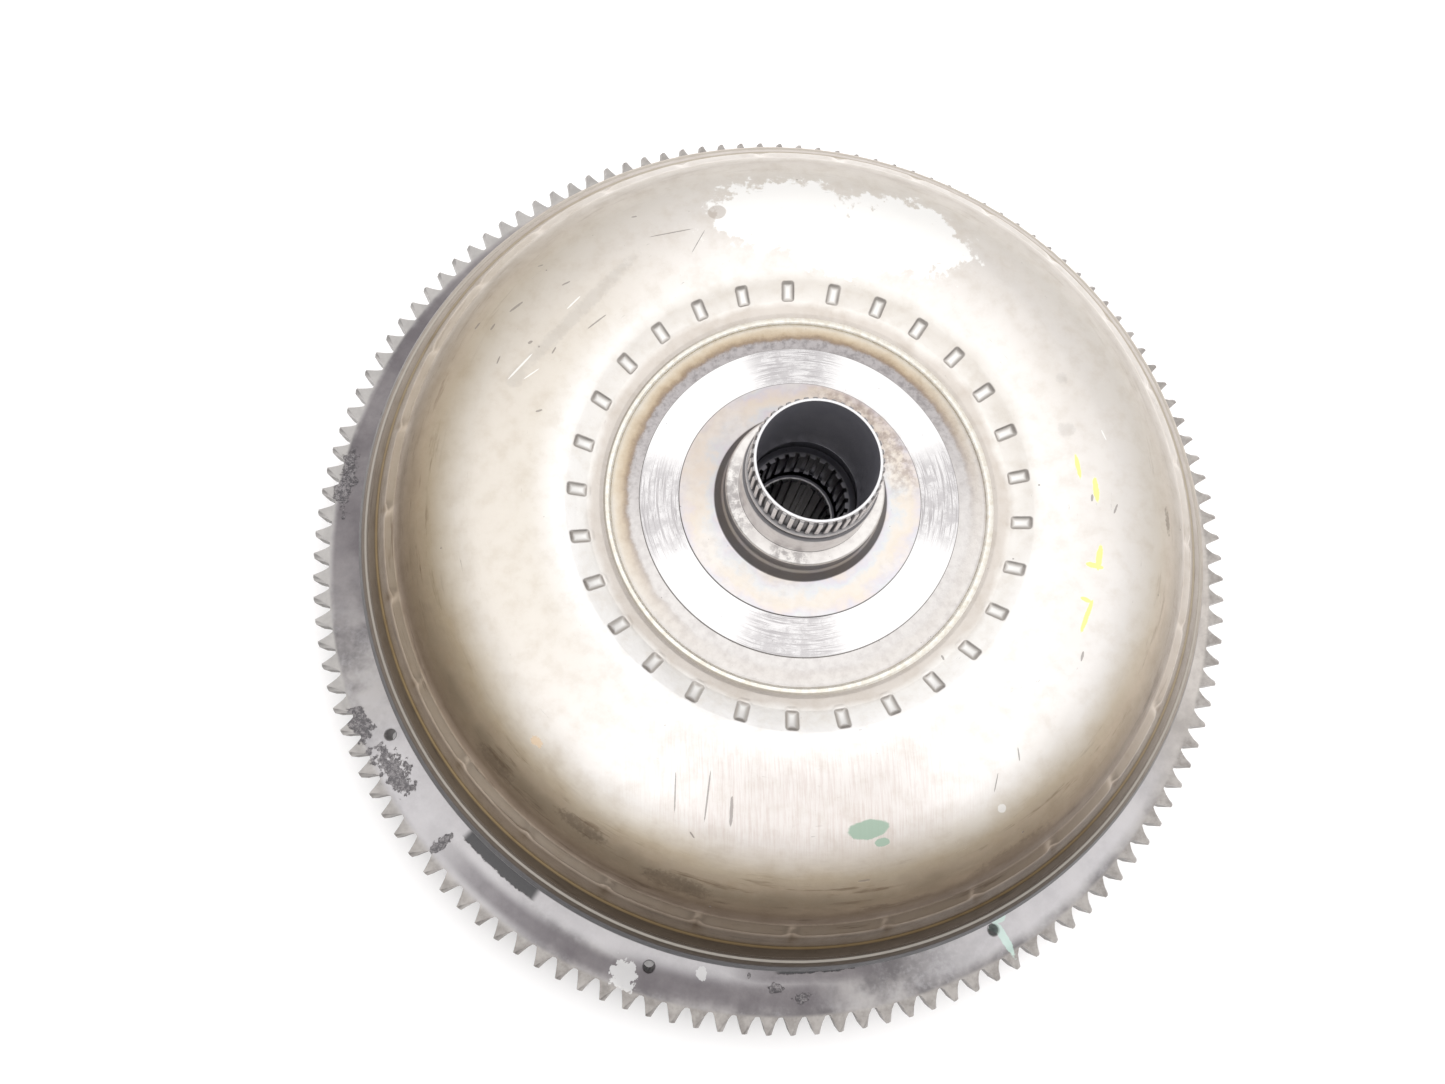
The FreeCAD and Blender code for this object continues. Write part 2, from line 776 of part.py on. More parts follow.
def turbine_hub():
    flange_top = D["turbine_flange"] - D["turbine_wall"]
    flange_bottom = flange_top - D["hub_flange"]
    groove_top = D["seal_bottom"] + D["seal_height"]
    body = turned("turbine_hub", [
        (D["shaft_spline"], D["turbine_hub_front"]),
        (D["piston_journal"], D["turbine_hub_front"]),
        (D["piston_journal"], D["seal_bottom"]),
        (D["seal_groove"], D["seal_bottom"]),
        (D["seal_groove"], groove_top),
        (D["piston_journal"], groove_top),
        (D["piston_journal"], flange_bottom),
        (56.0, flange_bottom),
        (56.0, flange_top),
        (37.0, flange_top),
        (37.0, D["front_bearing_seat"]),
        (22.5, D["front_bearing_seat"]),
        (22.5, 42.0),
        (D["turbine_hub_nose"], 42.0),
        (D["turbine_hub_nose"], D["turbine_hub_top"]),
        (D["shaft_spline"] + 0.8, D["turbine_hub_top"]),
        (D["shaft_spline"], D["turbine_hub_top"] - 0.8),
    ])
    rivet_holes(body, "hub_rivet_hole", flange_bottom, D["hub_flange"])
    overshoot = 1.0
    pitch = D["shaft_spline"] * math.pi / D["shaft_spline_teeth"]
    space = gap(D["shaft_spline"] - overshoot, D["shaft_spline_root"], pitch * 0.56, pitch * 0.40)
    return cut_around(
        body, "shaft_spline_space", space, D["shaft_spline_teeth"], D["turbine_hub_front"] - overshoot,
        D["turbine_hub_top"] - D["turbine_hub_front"] + 2 * overshoot,
    )


def turbine_rivets():
    """Headed rivets through shell, hub flange and damper plate."""
    top = D["turbine_flange"]
    bottom = top - D["turbine_wall"] * 2 - D["hub_flange"]
    head = 1.5
    shank = cylinder("rivet_shank", D["rivet_radius"], top - bottom, x=D["rivet_circle"], z=bottom)
    upper = cylinder("rivet_upper_head", D["rivet_head"], head, x=D["rivet_circle"], z=top)
    lower = cylinder("rivet_lower_head", D["rivet_head"], head, x=D["rivet_circle"], z=bottom - head)
    rivet = combined("Part::Fuse", "rivet_one", combined("Part::Fuse", "rivet_top", shank, upper), lower)
    return ring_of("turbine_rivets", rivet, D["rivet_count"])


def piston_seal_ring():
    gap_each_side = 0.1
    return turned("piston_seal_ring", rectangle(
        D["seal_groove"] + 0.2, D["piston_journal"] + 0.05,
        D["seal_bottom"] + gap_each_side, D["seal_bottom"] + D["seal_height"] - gap_each_side,
    ))


def turbine_thrust_washer():
    face = D["cover_face"] + D["cover_wall"]
    return turned("turbine_thrust_washer", rectangle(
        D["pilot_spigot"] + 0.6, D["piston_journal"] - 0.6, face + 0.05, D["turbine_hub_front"] - 0.05,
    ))


def damper_driven_plate():
    """Riveted to the turbine hub; its tabs stand between the springs, on their inner half."""
    top = D["turbine_flange"] - D["turbine_wall"] - D["hub_flange"]
    wall = D["turbine_wall"]
    floor = as_size(20.2)
    tab_height = 6.0
    half_window = D["damper_spring_length"] / 2 + 0.15
    body = turned("damper_driven_plate", [
        (D["turbine_flange_bore"], top - wall),
        (55.0, top - wall),
        (62.0, floor),
        (D["damper_split"] - 0.2, floor),
        (D["damper_split"] - 0.2, floor + tab_height),
        (99.5, floor + tab_height),
        (99.5, floor + wall),
        (63.2, floor + wall),
        (56.2, top),
        (D["turbine_flange_bore"], top),
    ])
    rivet_holes(body, "plate_rivet_hole", top - wall, wall)
    window = block(D["damper_circle"] - D["damper_coil_radius"] - 2.4, 112.0, half_window)
    return cut_around(body, "driven_window", window, D["damper_spring_count"], floor - 1, tab_height + 2)


# ---- lock-up clutch and damper ----


def damper_drive_plate():
    """Channel that carries the springs. Its stops stand between them, on their outer half, and its lugs
    reach into the piston's rim."""
    bottom = D["piston_front"] + D["piston_wall"] + 0.2
    floor = bottom + 1.2
    stop_top = as_size(26.2)
    rim = 111.4
    half_window = D["damper_spring_length"] / 2 + 0.15
    body = turned("damper_drive_plate", [
        (97.0, bottom),
        (rim - 3.8, bottom),
        (rim, bottom + 2.6),
        (rim, stop_top),
        (D["damper_split"] + 0.2, stop_top),
        (D["damper_split"] + 0.2, floor),
        (97.0, floor),
    ])
    window = block(98.0, D["damper_circle"] + 5.4, half_window)
    cut_around(body, "drive_window", window, D["damper_spring_count"], floor, stop_top - floor + 1)
    lug = block(rim - 0.5, D["piston_rim"] - 0.3, D["lug_half_width"])
    return add_around(body, "drive_lug", lug, D["damper_spring_count"], D["lug_bottom"], D["lug_height"])


def damper_springs():
    """Straight coil springs that lie along the tangent."""
    coil_height = D["damper_spring_length"] - D["damper_wire_radius"] * 2
    helix = DOC.addObject("Part::Helix", "damper_coil")
    bind(helix, Radius=D["damper_coil_radius"], Pitch=D["damper_pitch"], Height=coil_height)
    wire = DOC.addObject("Part::Circle", "damper_wire")
    bind(wire, Radius=D["damper_wire_radius"])
    coil_radius = D["damper_coil_radius"]
    turn = FreeCAD.Rotation(FreeCAD.Vector(1, 0, 0), 90)
    wire.Placement = FreeCAD.Placement(FreeCAD.Vector(coil_radius.number, 0, 0), turn)
    wire.setExpression("Placement.Base.x", coil_radius.text)
    sweep = DOC.addObject("Part::Sweep", "damper_spring_sweep")
    sweep.Sections = [wire]
    sweep.Spine = (helix, ["Edge1"])
    sweep.Solid = True
    sweep.Frenet = True
    DOC.recompute()
    spring = DOC.addObject("Part::Feature", "damper_spring_one")
    shape = sweep.Shape.copy()
    shape.rotate(FreeCAD.Vector(0, 0, 0), FreeCAD.Vector(1, 0, 0), 90)
    place = (D["damper_circle"].number, coil_height.number / 2, D["damper_height"].number)
    shape.translate(FreeCAD.Vector(*place))
    spring.Shape = shape
    return ring_of("damper_springs", spring, D["damper_spring_count"])


def lockup_piston():
    """Dished plate that slides on the turbine hub, with notches in its rim for the damper's lugs."""
    front = D["piston_front"]
    back = front + D["piston_wall"]
    rim = D["piston_rim"]
    rim_wall = 1.8
    rim_top = front + 8.4
    collar = 22.4
    collar_top = 27.0
    body = turned("lockup_piston", [
        (D["piston_bore"], front),
        (109.0, front),
        (rim, front + 3.6),
        (rim, rim_top),
        (rim - rim_wall, rim_top),
        (rim - rim_wall, front + 4.0),
        (108.4, back),
        (collar + 1.6, back),
        (collar, back + 1.6, -1.6),
        (collar, collar_top),
        (D["piston_bore"], collar_top),
    ])
    clearance = 0.3
    notch_bottom = D["lug_bottom"] - clearance
    notch = block(rim - 2.0, rim + 2.2, D["lug_half_width"] + clearance)
    notch_height = rim_top - notch_bottom + 1
    return cut_around(body, "lug_notch", notch, D["damper_spring_count"], notch_bottom, notch_height)


def friction_lining():
    return turned("friction_lining", rectangle(
        D["lining_inner"], D["lining_outer"], D["piston_front"] - D["lining_wall"], D["piston_front"],
    ))


# ---- stator and one-way clutch ----


def stator_vane():
    """One aerofoil vane, drawn across its span and padded outwards."""
    body = DOC.addObject("PartDesign::Body", "stator_vane_one")
    sketch = new_sketch(body, "vane_outline", "YZ_Plane", D["vane_root"] - 0.8)
    draw_outline(sketch, [
        (-7.4, 56.0),
        (-4.4, 57.8, -2.0),
        (6.0, 45.8, -22.0),
        (5.4, 45.4),
        (-7.4, 56.0, 16.0),
    ][1:])
    pad = body.newObject("PartDesign::Pad", "vane_pad")
    pad.Profile = sketch
    bind(pad, Length=D["vane_tip"] - D["vane_root"] + 1.6)
    body.Tip = pad
    DOC.recompute()
    return body


def stator_wheel():
    """Die-cast wheel: hub, vanes and shroud."""
    snap_bottom = D["clutch_top"] + D["side_plate_wall"]
    hub = turned("stator_hub", [
        (20.6, D["stator_bottom"]),
        (38.0, D["stator_bottom"]),
        (44.0, 46.0),
        (D["vane_root"], 46.0),
        (D["vane_root"], 58.0),
        (46.0, 58.0),
        (44.0, 60.0),
        (44.0, D["stator_top"]),
        (38.0, D["stator_top"]),
        (38.0, snap_bottom + 1.3),
        (39.4, snap_bottom + 1.3),
        (39.4, snap_bottom),
        (38.0, snap_bottom),
        (38.0, D["clutch_top"]),
        (D["outer_race_radius"], D["clutch_top"]),
        (D["outer_race_radius"], D["clutch_bottom"]),
        (20.6, D["clutch_bottom"]),
    ])
    shroud = turned("stator_shroud", rectangle(D["vane_tip"], D["shroud_radius"], 44.6, 58.8))
    vanes = ring_of("stator_vanes", stator_vane(), D["vane_count"])
    wheel = DOC.addObject("Part::MultiFuse", "stator_wheel")
    wheel.Shapes = [hub, vanes, shroud]
    DOC.recompute()
    return wheel


def clutch_outer_race():
    body = turned("clutch_outer_race", rectangle(
        D["outer_race_bore"], D["outer_race_radius"], D["clutch_bottom"], D["clutch_top"],
    ))
    pocket = (D["roller_circle"] - 0.2, D["roller_radius"] + 0.5)
    through = D["clutch_top"] - D["clutch_bottom"] + 2
    return cut_around(body, "cam_pocket", pocket, D["roller_count"], D["clutch_bottom"] - 1, through)


def clutch_rollers():
    end_gap = 0.8
    length = D["clutch_top"] - D["clutch_bottom"] - 2 * end_gap
    bottom = D["clutch_bottom"] + end_gap
    roller = cylinder("roller_one", D["roller_radius"], length, x=D["roller_circle"], z=bottom)
    return ring_of("clutch_rollers", roller, D["roller_count"])


def clutch_springs():
    """Bent leaf springs between the rollers."""
    leaf_height = D["clutch_top"] - D["clutch_bottom"] - 4
    leaves = []
    for name, angle in (("first", 28.0), ("second", -28.0)):
        leaf = DOC.addObject("Part::Box", f"spring_leaf_{name}")
        bind(leaf, Length=3.2, Width=0.4, Height=leaf_height)
        turn = FreeCAD.Rotation(FreeCAD.Vector(0, 0, 1), angle)
        leaf.Placement = FreeCAD.Placement(FreeCAD.Vector(20.6, -0.2, 0), turn)
        leaf.setExpression("Placement.Base.z", (D["clutch_bottom"] + 2).text)
        leaves.append(leaf)
    spring = combined("Part::Fuse", "clutch_spring_one", *leaves)
    return ring_of("clutch_springs", spring, D["roller_count"], 180 / D["roller_count"].number)


def clutch_side_plate():
    return turned("clutch_side_plate", rectangle(
        20.6, 37.9, D["clutch_top"], D["clutch_top"] + D["side_plate_wall"] - 0.02,
    ))


def stator_snap_ring():
    bottom = D["clutch_top"] + D["side_plate_wall"] + 0.02
    wall = 1.2
    inner, outer = 36.6, 39.2
    half_gap = 3.0
    body = turned("stator_snap_ring", rectangle(inner, outer, bottom, bottom + wall))
    opening = block(inner - 1, outer + 1, half_gap)
    return cut_around(body, "snap_ring_gap", opening, 1, bottom - 1, wall + 2)


def clutch_inner_race():
    body = turned("clutch_inner_race", [
        (D["race_relief"], D["race_bottom"]),
        (D["race_radius"], D["race_bottom"]),
        (D["race_radius"], D["race_top"]),
        (D["race_nose"], D["race_top"]),
        (D["race_nose"], D["race_nose_top"]),
        (D["stator_spline"], D["race_nose_top"]),
        (D["stator_spline"], D["stator_spline_bottom"]),
        (D["race_relief"], D["stator_spline_bottom"]),
    ])
    overshoot = 1.0
    pitch = D["stator_spline"] * math.pi / D["stator_spline_teeth"]
    space = gap(D["stator_spline"] - overshoot, D["stator_spline_root"], pitch * 0.56, pitch * 0.40)
    return cut_around(
        body, "stator_spline_space", space, D["stator_spline_teeth"], D["stator_spline_bottom"] - overshoot,
        D["race_nose_top"] - D["stator_spline_bottom"] + 2 * overshoot,
    )


# ---- needle thrust bearings ----


def bearing_race(label, bottom):
    return turned(label, rectangle(
        D["bearing_inner"], D["bearing_outer"], bottom, bottom + D["bearing_race_wall"],
    ))


def bearing_cage(label, middle):
    half_wall = 0.4
    margin = 0.4
    play = 0.05
    body = turned(label, rectangle(
        D["bearing_inner"] + margin, D["bearing_outer"] - margin, middle - half_wall, middle + half_wall,
    ))
    slot_start = D["bearing_inner"] + D["needle_inset"] - play
    slot_end = D["bearing_inner"] + D["needle_inset"] + D["needle_length"] + play
    slot = block(slot_start, slot_end, D["needle_radius"] + play)
    return cut_around(body, label + "_slot", slot, D["needle_count"], middle - 2 * half_wall, 4 * half_wall)


def bearing_needles(label, middle):
    start = D["bearing_inner"] + D["needle_inset"]
    needle = cylinder(label + "_one", D["needle_radius"], D["needle_length"], x=start, z=middle, lying=True)
    return ring_of(label, needle, D["needle_count"])


def thrust_bearing(side, seat):
    """Two races with a cage of needles between them, stacked up from the seat."""
    space = D["bearing_gap"]
    lower = seat + space
    middle = lower + D["bearing_race_wall"] + space + D["needle_radius"]
    upper = middle + D["needle_radius"] + space
    return [
        bearing_race(f"{side}_bearing_lower_race", lower),
        bearing_cage(f"{side}_bearing_cage", middle),
        bearing_needles(f"{side}_bearing_needles", middle),
        bearing_race(f"{side}_bearing_upper_race", upper),
    ]


def build():
    """Every sub-part of the assembly, in the order it goes together."""
    housing = [
        front_cover(), pilot_boss(), drive_nuts(), drive_nut_welds(), ring_gear(), ring_gear_welds(),
        impeller_shell(), rim_weld(), impeller_hub(), hub_weld(), impeller_blades(),
        core_ring("impeller_core_ring", D["impeller_edge"], 1),
    ]
    turbine = [
        turbine_shell(), turbine_blades(), core_ring("turbine_core_ring", D["turbine_edge"], -1),
        turbine_hub(), turbine_rivets(), piston_seal_ring(), turbine_thrust_washer(), damper_driven_plate(),
    ]
    lockup = [damper_drive_plate(), damper_springs(), lockup_piston(), friction_lining()]
    stator = [
        stator_wheel(), clutch_outer_race(), clutch_rollers(), clutch_springs(), clutch_side_plate(),
        stator_snap_ring(), clutch_inner_race(),
    ]
    front = thrust_bearing("front", D["front_bearing_seat"])
    rear = thrust_bearing("rear", D["rear_bearing_seat"])
    return housing + turbine + lockup + stator + front + rear


def check(parts):
    """Stops if any object of the document failed, or a sub-part has no valid shape."""
    for item in DOC.Objects:
        if "Invalid" in item.State or "Error" in item.State:
            raise RuntimeError(f"{item.Label} failed: {item.State}")
    for part in parts:
        if part.Shape.isNull() or not part.Shape.isValid():
            raise RuntimeError(f"{part.Label} has no valid shape")


def export(parts):
    os.makedirs("parts", exist_ok=True)
    for part in parts:
        part.Shape.exportStep(f"parts/{part.Label}.step")


PARTS = build()
DOC.recompute()
check(PARTS)
export(PARTS)
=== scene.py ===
import json
import math

import bmesh
import bpy
import numpy as np
from mathutils import Matrix, Vector


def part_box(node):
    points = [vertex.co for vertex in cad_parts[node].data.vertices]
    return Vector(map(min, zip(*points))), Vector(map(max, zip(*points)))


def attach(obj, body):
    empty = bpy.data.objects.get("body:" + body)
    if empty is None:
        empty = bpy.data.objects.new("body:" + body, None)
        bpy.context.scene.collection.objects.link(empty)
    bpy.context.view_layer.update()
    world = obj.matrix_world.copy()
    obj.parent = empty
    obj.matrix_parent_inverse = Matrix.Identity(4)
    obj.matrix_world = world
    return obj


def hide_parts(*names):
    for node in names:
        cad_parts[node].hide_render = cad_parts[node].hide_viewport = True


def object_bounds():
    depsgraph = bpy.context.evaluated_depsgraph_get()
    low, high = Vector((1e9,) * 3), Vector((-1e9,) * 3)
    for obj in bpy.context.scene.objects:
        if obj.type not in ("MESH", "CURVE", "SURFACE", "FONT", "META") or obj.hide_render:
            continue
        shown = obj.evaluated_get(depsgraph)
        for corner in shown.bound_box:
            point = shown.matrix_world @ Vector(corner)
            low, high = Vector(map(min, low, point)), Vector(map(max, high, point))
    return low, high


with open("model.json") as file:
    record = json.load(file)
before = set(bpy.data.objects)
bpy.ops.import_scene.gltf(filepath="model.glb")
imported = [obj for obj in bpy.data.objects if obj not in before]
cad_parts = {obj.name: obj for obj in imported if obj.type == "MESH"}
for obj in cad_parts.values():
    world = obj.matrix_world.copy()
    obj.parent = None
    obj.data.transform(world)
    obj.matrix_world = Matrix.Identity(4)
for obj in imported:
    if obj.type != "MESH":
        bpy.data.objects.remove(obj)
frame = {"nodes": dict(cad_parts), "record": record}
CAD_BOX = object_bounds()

# A torque converter seen from the gearbox side: an oily pressed-steel shell, a machined hub with a splined
# tube, and a dark phosphated starter ring gear. Outlines are (radius, height) in millimetres from the axis
# and the drive nut faces, angles are in degrees from +X, and meshes are written in metres.
#
# Some paint carries light and shade, not only the colour of the surface: wherever a colour changes over a
# wide side of the axis, it was matched under one lighting seen from the near side, at about 245 degrees. It
# stays with the object when the view turns. The docstrings name those places.

MM = 0.001
RNG = np.random.default_rng(131)
NODES = frame["nodes"]


def node_size(name):
    """Outer radius, bottom and top of a CAD node, in millimetres."""
    low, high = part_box(name)
    return high.x / MM, low.z / MM, high.z / MM


GEAR_TIP, GEAR_BOTTOM, GEAR_TOP = node_size("ring_gear")
SKIRT, COVER_FACE, SKIRT_TOP = node_size("front_cover")
SHELL_RIM, SHELL_EDGE, DOME_TOP = node_size("impeller_shell")
PLATE_RIM, HUB_UNDER, HUB_TOP = node_size("impeller_hub")
RACE_TOP = node_size("clutch_inner_race")[2]
SLEEVE_TOP = node_size("turbine_hub")[2]

GEAR_TEETH = 131
GEAR_ROOT = 136.0
GEAR_PHASE = -7.8
GEAR_HOLES = 8
GEAR_HOLE_PHASE = -18.3
GEAR_HOLE_CIRCLE = 128.4
GEAR_HOLE_RADIUS = 1.55
BLADES = 29
POCKET_PHASE = -7.54
POCKET_CENTRE = 58.5
POCKET_HALF = (2.65, 1.7)
DENT_SHIFT = 1.9
HUB_SPLINES = 44
NUT_COUNT = 6
NUT_CIRCLE = 100.0


# ---- outlines ----


def rounded(corners, steps=5):
    """Points of an open outline. A corner's third value is the radius that rounds it."""
    points = []
    for index, corner in enumerate(corners):
        here = np.array(corner[:2], float)
        radius = corner[2] if len(corner) > 2 else 0.0
        if radius == 0.0 or index in (0, len(corners) - 1):
            points.append(here)
            continue
        before = np.array(corners[index - 1][:2], float) - here
        after = np.array(corners[index + 1][:2], float) - here
        to_before = before / np.linalg.norm(before)
        to_after = after / np.linalg.norm(after)
        half = math.acos(np.clip(to_before @ to_after, -1, 1)) / 2
        reach = min(radius / math.tan(half), 0.49 * np.linalg.norm(before), 0.49 * np.linalg.norm(after))
        radius = reach * math.tan(half)
        middle = (to_before + to_after) / np.linalg.norm(to_before + to_after)
        centre = here + middle * radius / math.sin(half)
        first = here + to_before * reach - centre
        last = here + to_after * reach - centre
        turn = math.pi - 2 * half
        for step in range(steps + 1):
            share = step / steps
            weight = (math.sin((1 - share) * turn), math.sin(share * turn))
            points.append(centre + (first * weight[0] + last * weight[1]) / math.sin(turn))
    return points


def bow(start, end, radius, steps):
    """Points of an arc that rises above its chord, without its first point."""
    start, end = np.array(start, float), np.array(end, float)
    chord = end - start
    length = np.linalg.norm(chord)
    across = np.array([chord[1], -chord[0]]) / length
    if across[1] < 0:
        across = -across
    centre = (start + end) / 2 - across * math.sqrt(radius * radius - length * length / 4)
    first = math.atan2(*(start - centre)[::-1])
    last = math.atan2(*(end - centre)[::-1])
    angles = np.linspace(first, last, steps + 1)[1:]
    return [centre + radius * np.array([math.cos(a), math.sin(a)]) for a in angles]


def subdivided(points, longest):
    """The same outline with no stretch longer than that."""
    result = [np.array(points[0], float)]
    for end in points[1:]:
        start, end = result[-1], np.array(end, float)
        count = max(1, math.ceil(np.linalg.norm(end - start) / longest))
        for step in range(1, count + 1):
            result.append(start + (end - start) * step / count)
    return result


# ---- meshes ----


def add_piece(name, vertices, faces, body, slot, material, replaces=(), crease=32.0):
    """Makes a mesh object from points in millimetres, and hangs it on its CAD body."""
    mesh = bpy.data.meshes.new(name)
    mesh.from_pydata((np.asarray(vertices, float) * MM).tolist(), [], faces)
    mesh.validate()
    tidy = bmesh.new()
    tidy.from_mesh(mesh)
    bmesh.ops.remove_doubles(tidy, verts=tidy.verts, dist=1e-7)
    bmesh.ops.recalc_face_normals(tidy, faces=tidy.faces)
    tidy.to_mesh(mesh)
    tidy.free()
    mesh.shade_smooth()
    mesh.set_sharp_from_angle(angle=math.radians(crease))
    piece = bpy.data.objects.new(name, mesh)
    bpy.context.scene.collection.objects.link(piece)
    piece.data.materials.append(material)
    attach(piece, body)
    if replaces:
        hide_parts(*replaces)
    return piece


def spun(outline, angles, shape=None):
    """Vertices and faces of a closed outline turned about the axis. The outline's height and radius may be
    changed by shape(radius, height, angle), which works on whole arrays."""
    outline = np.array(outline, float)
    rows, columns = len(outline), len(angles)
    radius = np.repeat(outline[:, :1], columns, 1)
    height = np.repeat(outline[:, 1:2], columns, 1)
    angle = np.repeat(np.radians(np.asarray(angles, float))[None, :], rows, 0)
    if shape:
        radius, height = shape(radius, height, angle)
    vertices = np.stack([radius * np.cos(angle), radius * np.sin(angle), height], -1).reshape(-1, 3)
    faces = []
    for row in range(rows):
        below = (row + 1) % rows
        for column in range(columns):
            right = (column + 1) % columns
            faces.append((
                row * columns + column, row * columns + right,
                below * columns + right, below * columns + column,
            ))
    return vertices, faces


def even(count):
    return np.arange(count) * 360.0 / count


def smooth_step(low, high, value):
    share = np.clip((value - low) / (high - low), 0, 1)
    return share * share * (3 - 2 * share)


def joined(parts):
    """Several (vertices, faces) as one."""
    vertices, faces, start = [], [], 0
    for points, loops in parts:
        vertices.append(np.asarray(points, float))
        faces.extend(tuple(index + start for index in loop) for loop in loops)
        start += len(points)
    return np.concatenate(vertices), faces


def moved_to(points, angle, distance):
    """A piece modelled about its own axis, set at that distance and angle from the main axis."""
    turn = math.radians(angle)
    cosine, sine = math.cos(turn), math.sin(turn)
    rotation = np.array([[cosine, -sine, 0], [sine, cosine, 0], [0, 0, 1]])
    return (np.asarray(points) + np.array([distance, 0, 0])) @ rotation.T


# ---- materials ----


class Paint:
    """One procedural material. Every method adds a node and gives back its output, lengths are in
    millimetres, and an argument may be a number, a colour or another output."""

    def __init__(self, name):
        self.material = bpy.data.materials.new(name)
        self.material.use_nodes = True
        self.tree = self.material.node_tree
        self.tree.nodes.clear()
        coordinates = self.tree.nodes.new("ShaderNodeTexCoord")
        self.place = self.vector("SCALE", coordinates.outputs["Object"], scale=1 / MM)
        split = self.tree.nodes.new("ShaderNodeSeparateXYZ")
        self.tree.links.new(self.place, split.inputs[0])
        self.x, self.y, self.z = split.outputs
        self.radius = self.math("SQRT", self.add(self.mul(self.x, self.x), self.mul(self.y, self.y)))
        safe = self.math("MAXIMUM", self.radius, 0.01)
        self.east = self.math("DIVIDE", self.x, safe)
        self.north = self.math("DIVIDE", self.y, safe)
        self.fray = self.math("SUBTRACT", self.noise(1.1, 4.0, 0.65), 0.5)

    def put(self, value, socket):
        if isinstance(value, bpy.types.NodeSocket):
            self.tree.links.new(value, socket)
        elif hasattr(socket.default_value, "__len__") and len(socket.default_value) == 4 and len(value) == 3:
            socket.default_value = (*value, 1.0)
        else:
            socket.default_value = value

    def math(self, operation, first, second=0.0, third=0.0):
        node = self.tree.nodes.new("ShaderNodeMath")
        node.operation = operation
        for value, socket in zip((first, second, third), node.inputs):
            self.put(value, socket)
        return node.outputs[0]

    def add(self, first, second):
        return self.math("ADD", first, second)

    def mul(self, first, second):
        return self.math("MULTIPLY", first, second)

    def inverse(self, value):
        return self.math("SUBTRACT", 1.0, value)

    def most(self, *values):
        result = values[0]
        for value in values[1:]:
            result = self.math("MAXIMUM", result, value)
        return result

    def vector(self, operation, first, second=(0, 0, 0), scale=1.0):
        node = self.tree.nodes.new("ShaderNodeVectorMath")
        node.operation = operation
        self.put(first, node.inputs[0])
        if operation == "SCALE":
            self.put(scale, node.inputs["Scale"])
        else:
            self.put(second, node.inputs[1])
        return node.outputs[0]

    def combine(self, x, y, z):
        node = self.tree.nodes.new("ShaderNodeCombineXYZ")
        for value, socket in zip((x, y, z), node.inputs):
            self.put(value, socket)
        return node.outputs[0]

    def around(self, along, across):
        """A place whose texture is stretched round the axis: along is how fast it changes round the
        circle, and across how fast it changes from one circle to the next."""
        step = self.mul(self.math("SUBTRACT", self.radius, self.z), across)
        return self.combine(self.mul(self.east, along), self.mul(self.north, along), step)

    def noise(self, size, detail=4.0, roughness=0.55, place=None, distortion=0.0):
        """Noise from 0 to 1 whose blotches are about that many millimetres wide."""
        node = self.tree.nodes.new("ShaderNodeTexNoise")
        self.put(self.place if place is None else place, node.inputs["Vector"])
        self.put(1.0 / size, node.inputs["Scale"])
        self.put(detail, node.inputs["Detail"])
        self.put(roughness, node.inputs["Roughness"])
        self.put(distortion, node.inputs["Distortion"])
        return node.outputs["Fac"]

    def dots(self, spacing, radius):
        """Round specks: 1 in each speck and 0 between them."""
        node = self.tree.nodes.new("ShaderNodeTexVoronoi")
        self.put(self.place, node.inputs["Vector"])
        self.put(1.0 / spacing, node.inputs["Scale"])
        return self.between(node.outputs["Distance"], radius / spacing, radius / spacing * 0.6)

    def between(self, value, low, high):
        """0 where value is at low and 1 where it is at high, smooth between."""
        node = self.tree.nodes.new("ShaderNodeMapRange")
        node.interpolation_type = "SMOOTHSTEP"
        self.put(value, node.inputs["Value"])
        self.put(low, node.inputs["From Min"])
        self.put(high, node.inputs["From Max"])
        return node.outputs["Result"]

    def ring(self, inner, outer, soft=0.5, value=None):
        """1 between two radii."""
        value = self.radius if value is None else value
        rise = self.between(value, inner - soft, inner + soft)
        fall = self.between(value, outer + soft, outer - soft)
        return self.mul(rise, fall)

    def side(self, angle, half_width, soft):
        """1 within half_width degrees of an angle round the axis."""
        turn = math.radians(angle)
        facing = self.add(self.mul(self.east, math.cos(turn)), self.mul(self.north, math.sin(turn)))
        low = math.cos(math.radians(min(half_width + soft, 180)))
        high = math.cos(math.radians(max(half_width - soft, 0)))
        return self.between(facing, low, high)

    def blot(self, radius, angle, along, across, ragged=0.35, size=3.0):
        """A patch with ragged edges: centre at a radius and angle, half sizes round and across the axis."""
        turn = math.radians(angle)
        east = math.cos(turn)
        north = math.sin(turn)
        dx = self.math("SUBTRACT", self.x, radius * east)
        dy = self.math("SUBTRACT", self.y, radius * north)
        out = self.add(self.mul(dx, east / across), self.mul(dy, north / across))
        aside = self.add(self.mul(dx, -north / along), self.mul(dy, east / along))
        distance = self.math("SQRT", self.add(self.mul(out, out), self.mul(aside, aside)))
        wobble = self.mul(self.math("SUBTRACT", self.noise(size, 5.0, 0.65), 0.5), ragged * 4)
        return self.between(self.add(distance, wobble), 1.05, 0.9)

    def stroke(self, x, y, angle, length, width, ragged=1.6, soft=0.25):
        """A thin frayed mark: its centre, its direction in degrees, and its size."""
        turn = math.radians(angle)
        dx = self.math("SUBTRACT", self.x, x)
        dy = self.math("SUBTRACT", self.y, y)
        along = self.add(self.mul(dx, math.cos(turn) * 2 / length), self.mul(dy, math.sin(turn) * 2 / length))
        aside = self.add(self.mul(dx, -math.sin(turn) * 2 / width), self.mul(dy, math.cos(turn) * 2 / width))
        distance = self.add(self.math("POWER", self.math("ABSOLUTE", along), 3.0), self.mul(aside, aside))
        return self.between(self.add(distance, self.mul(self.fray, ragged)), 1.0 + soft, 1.0 - soft)

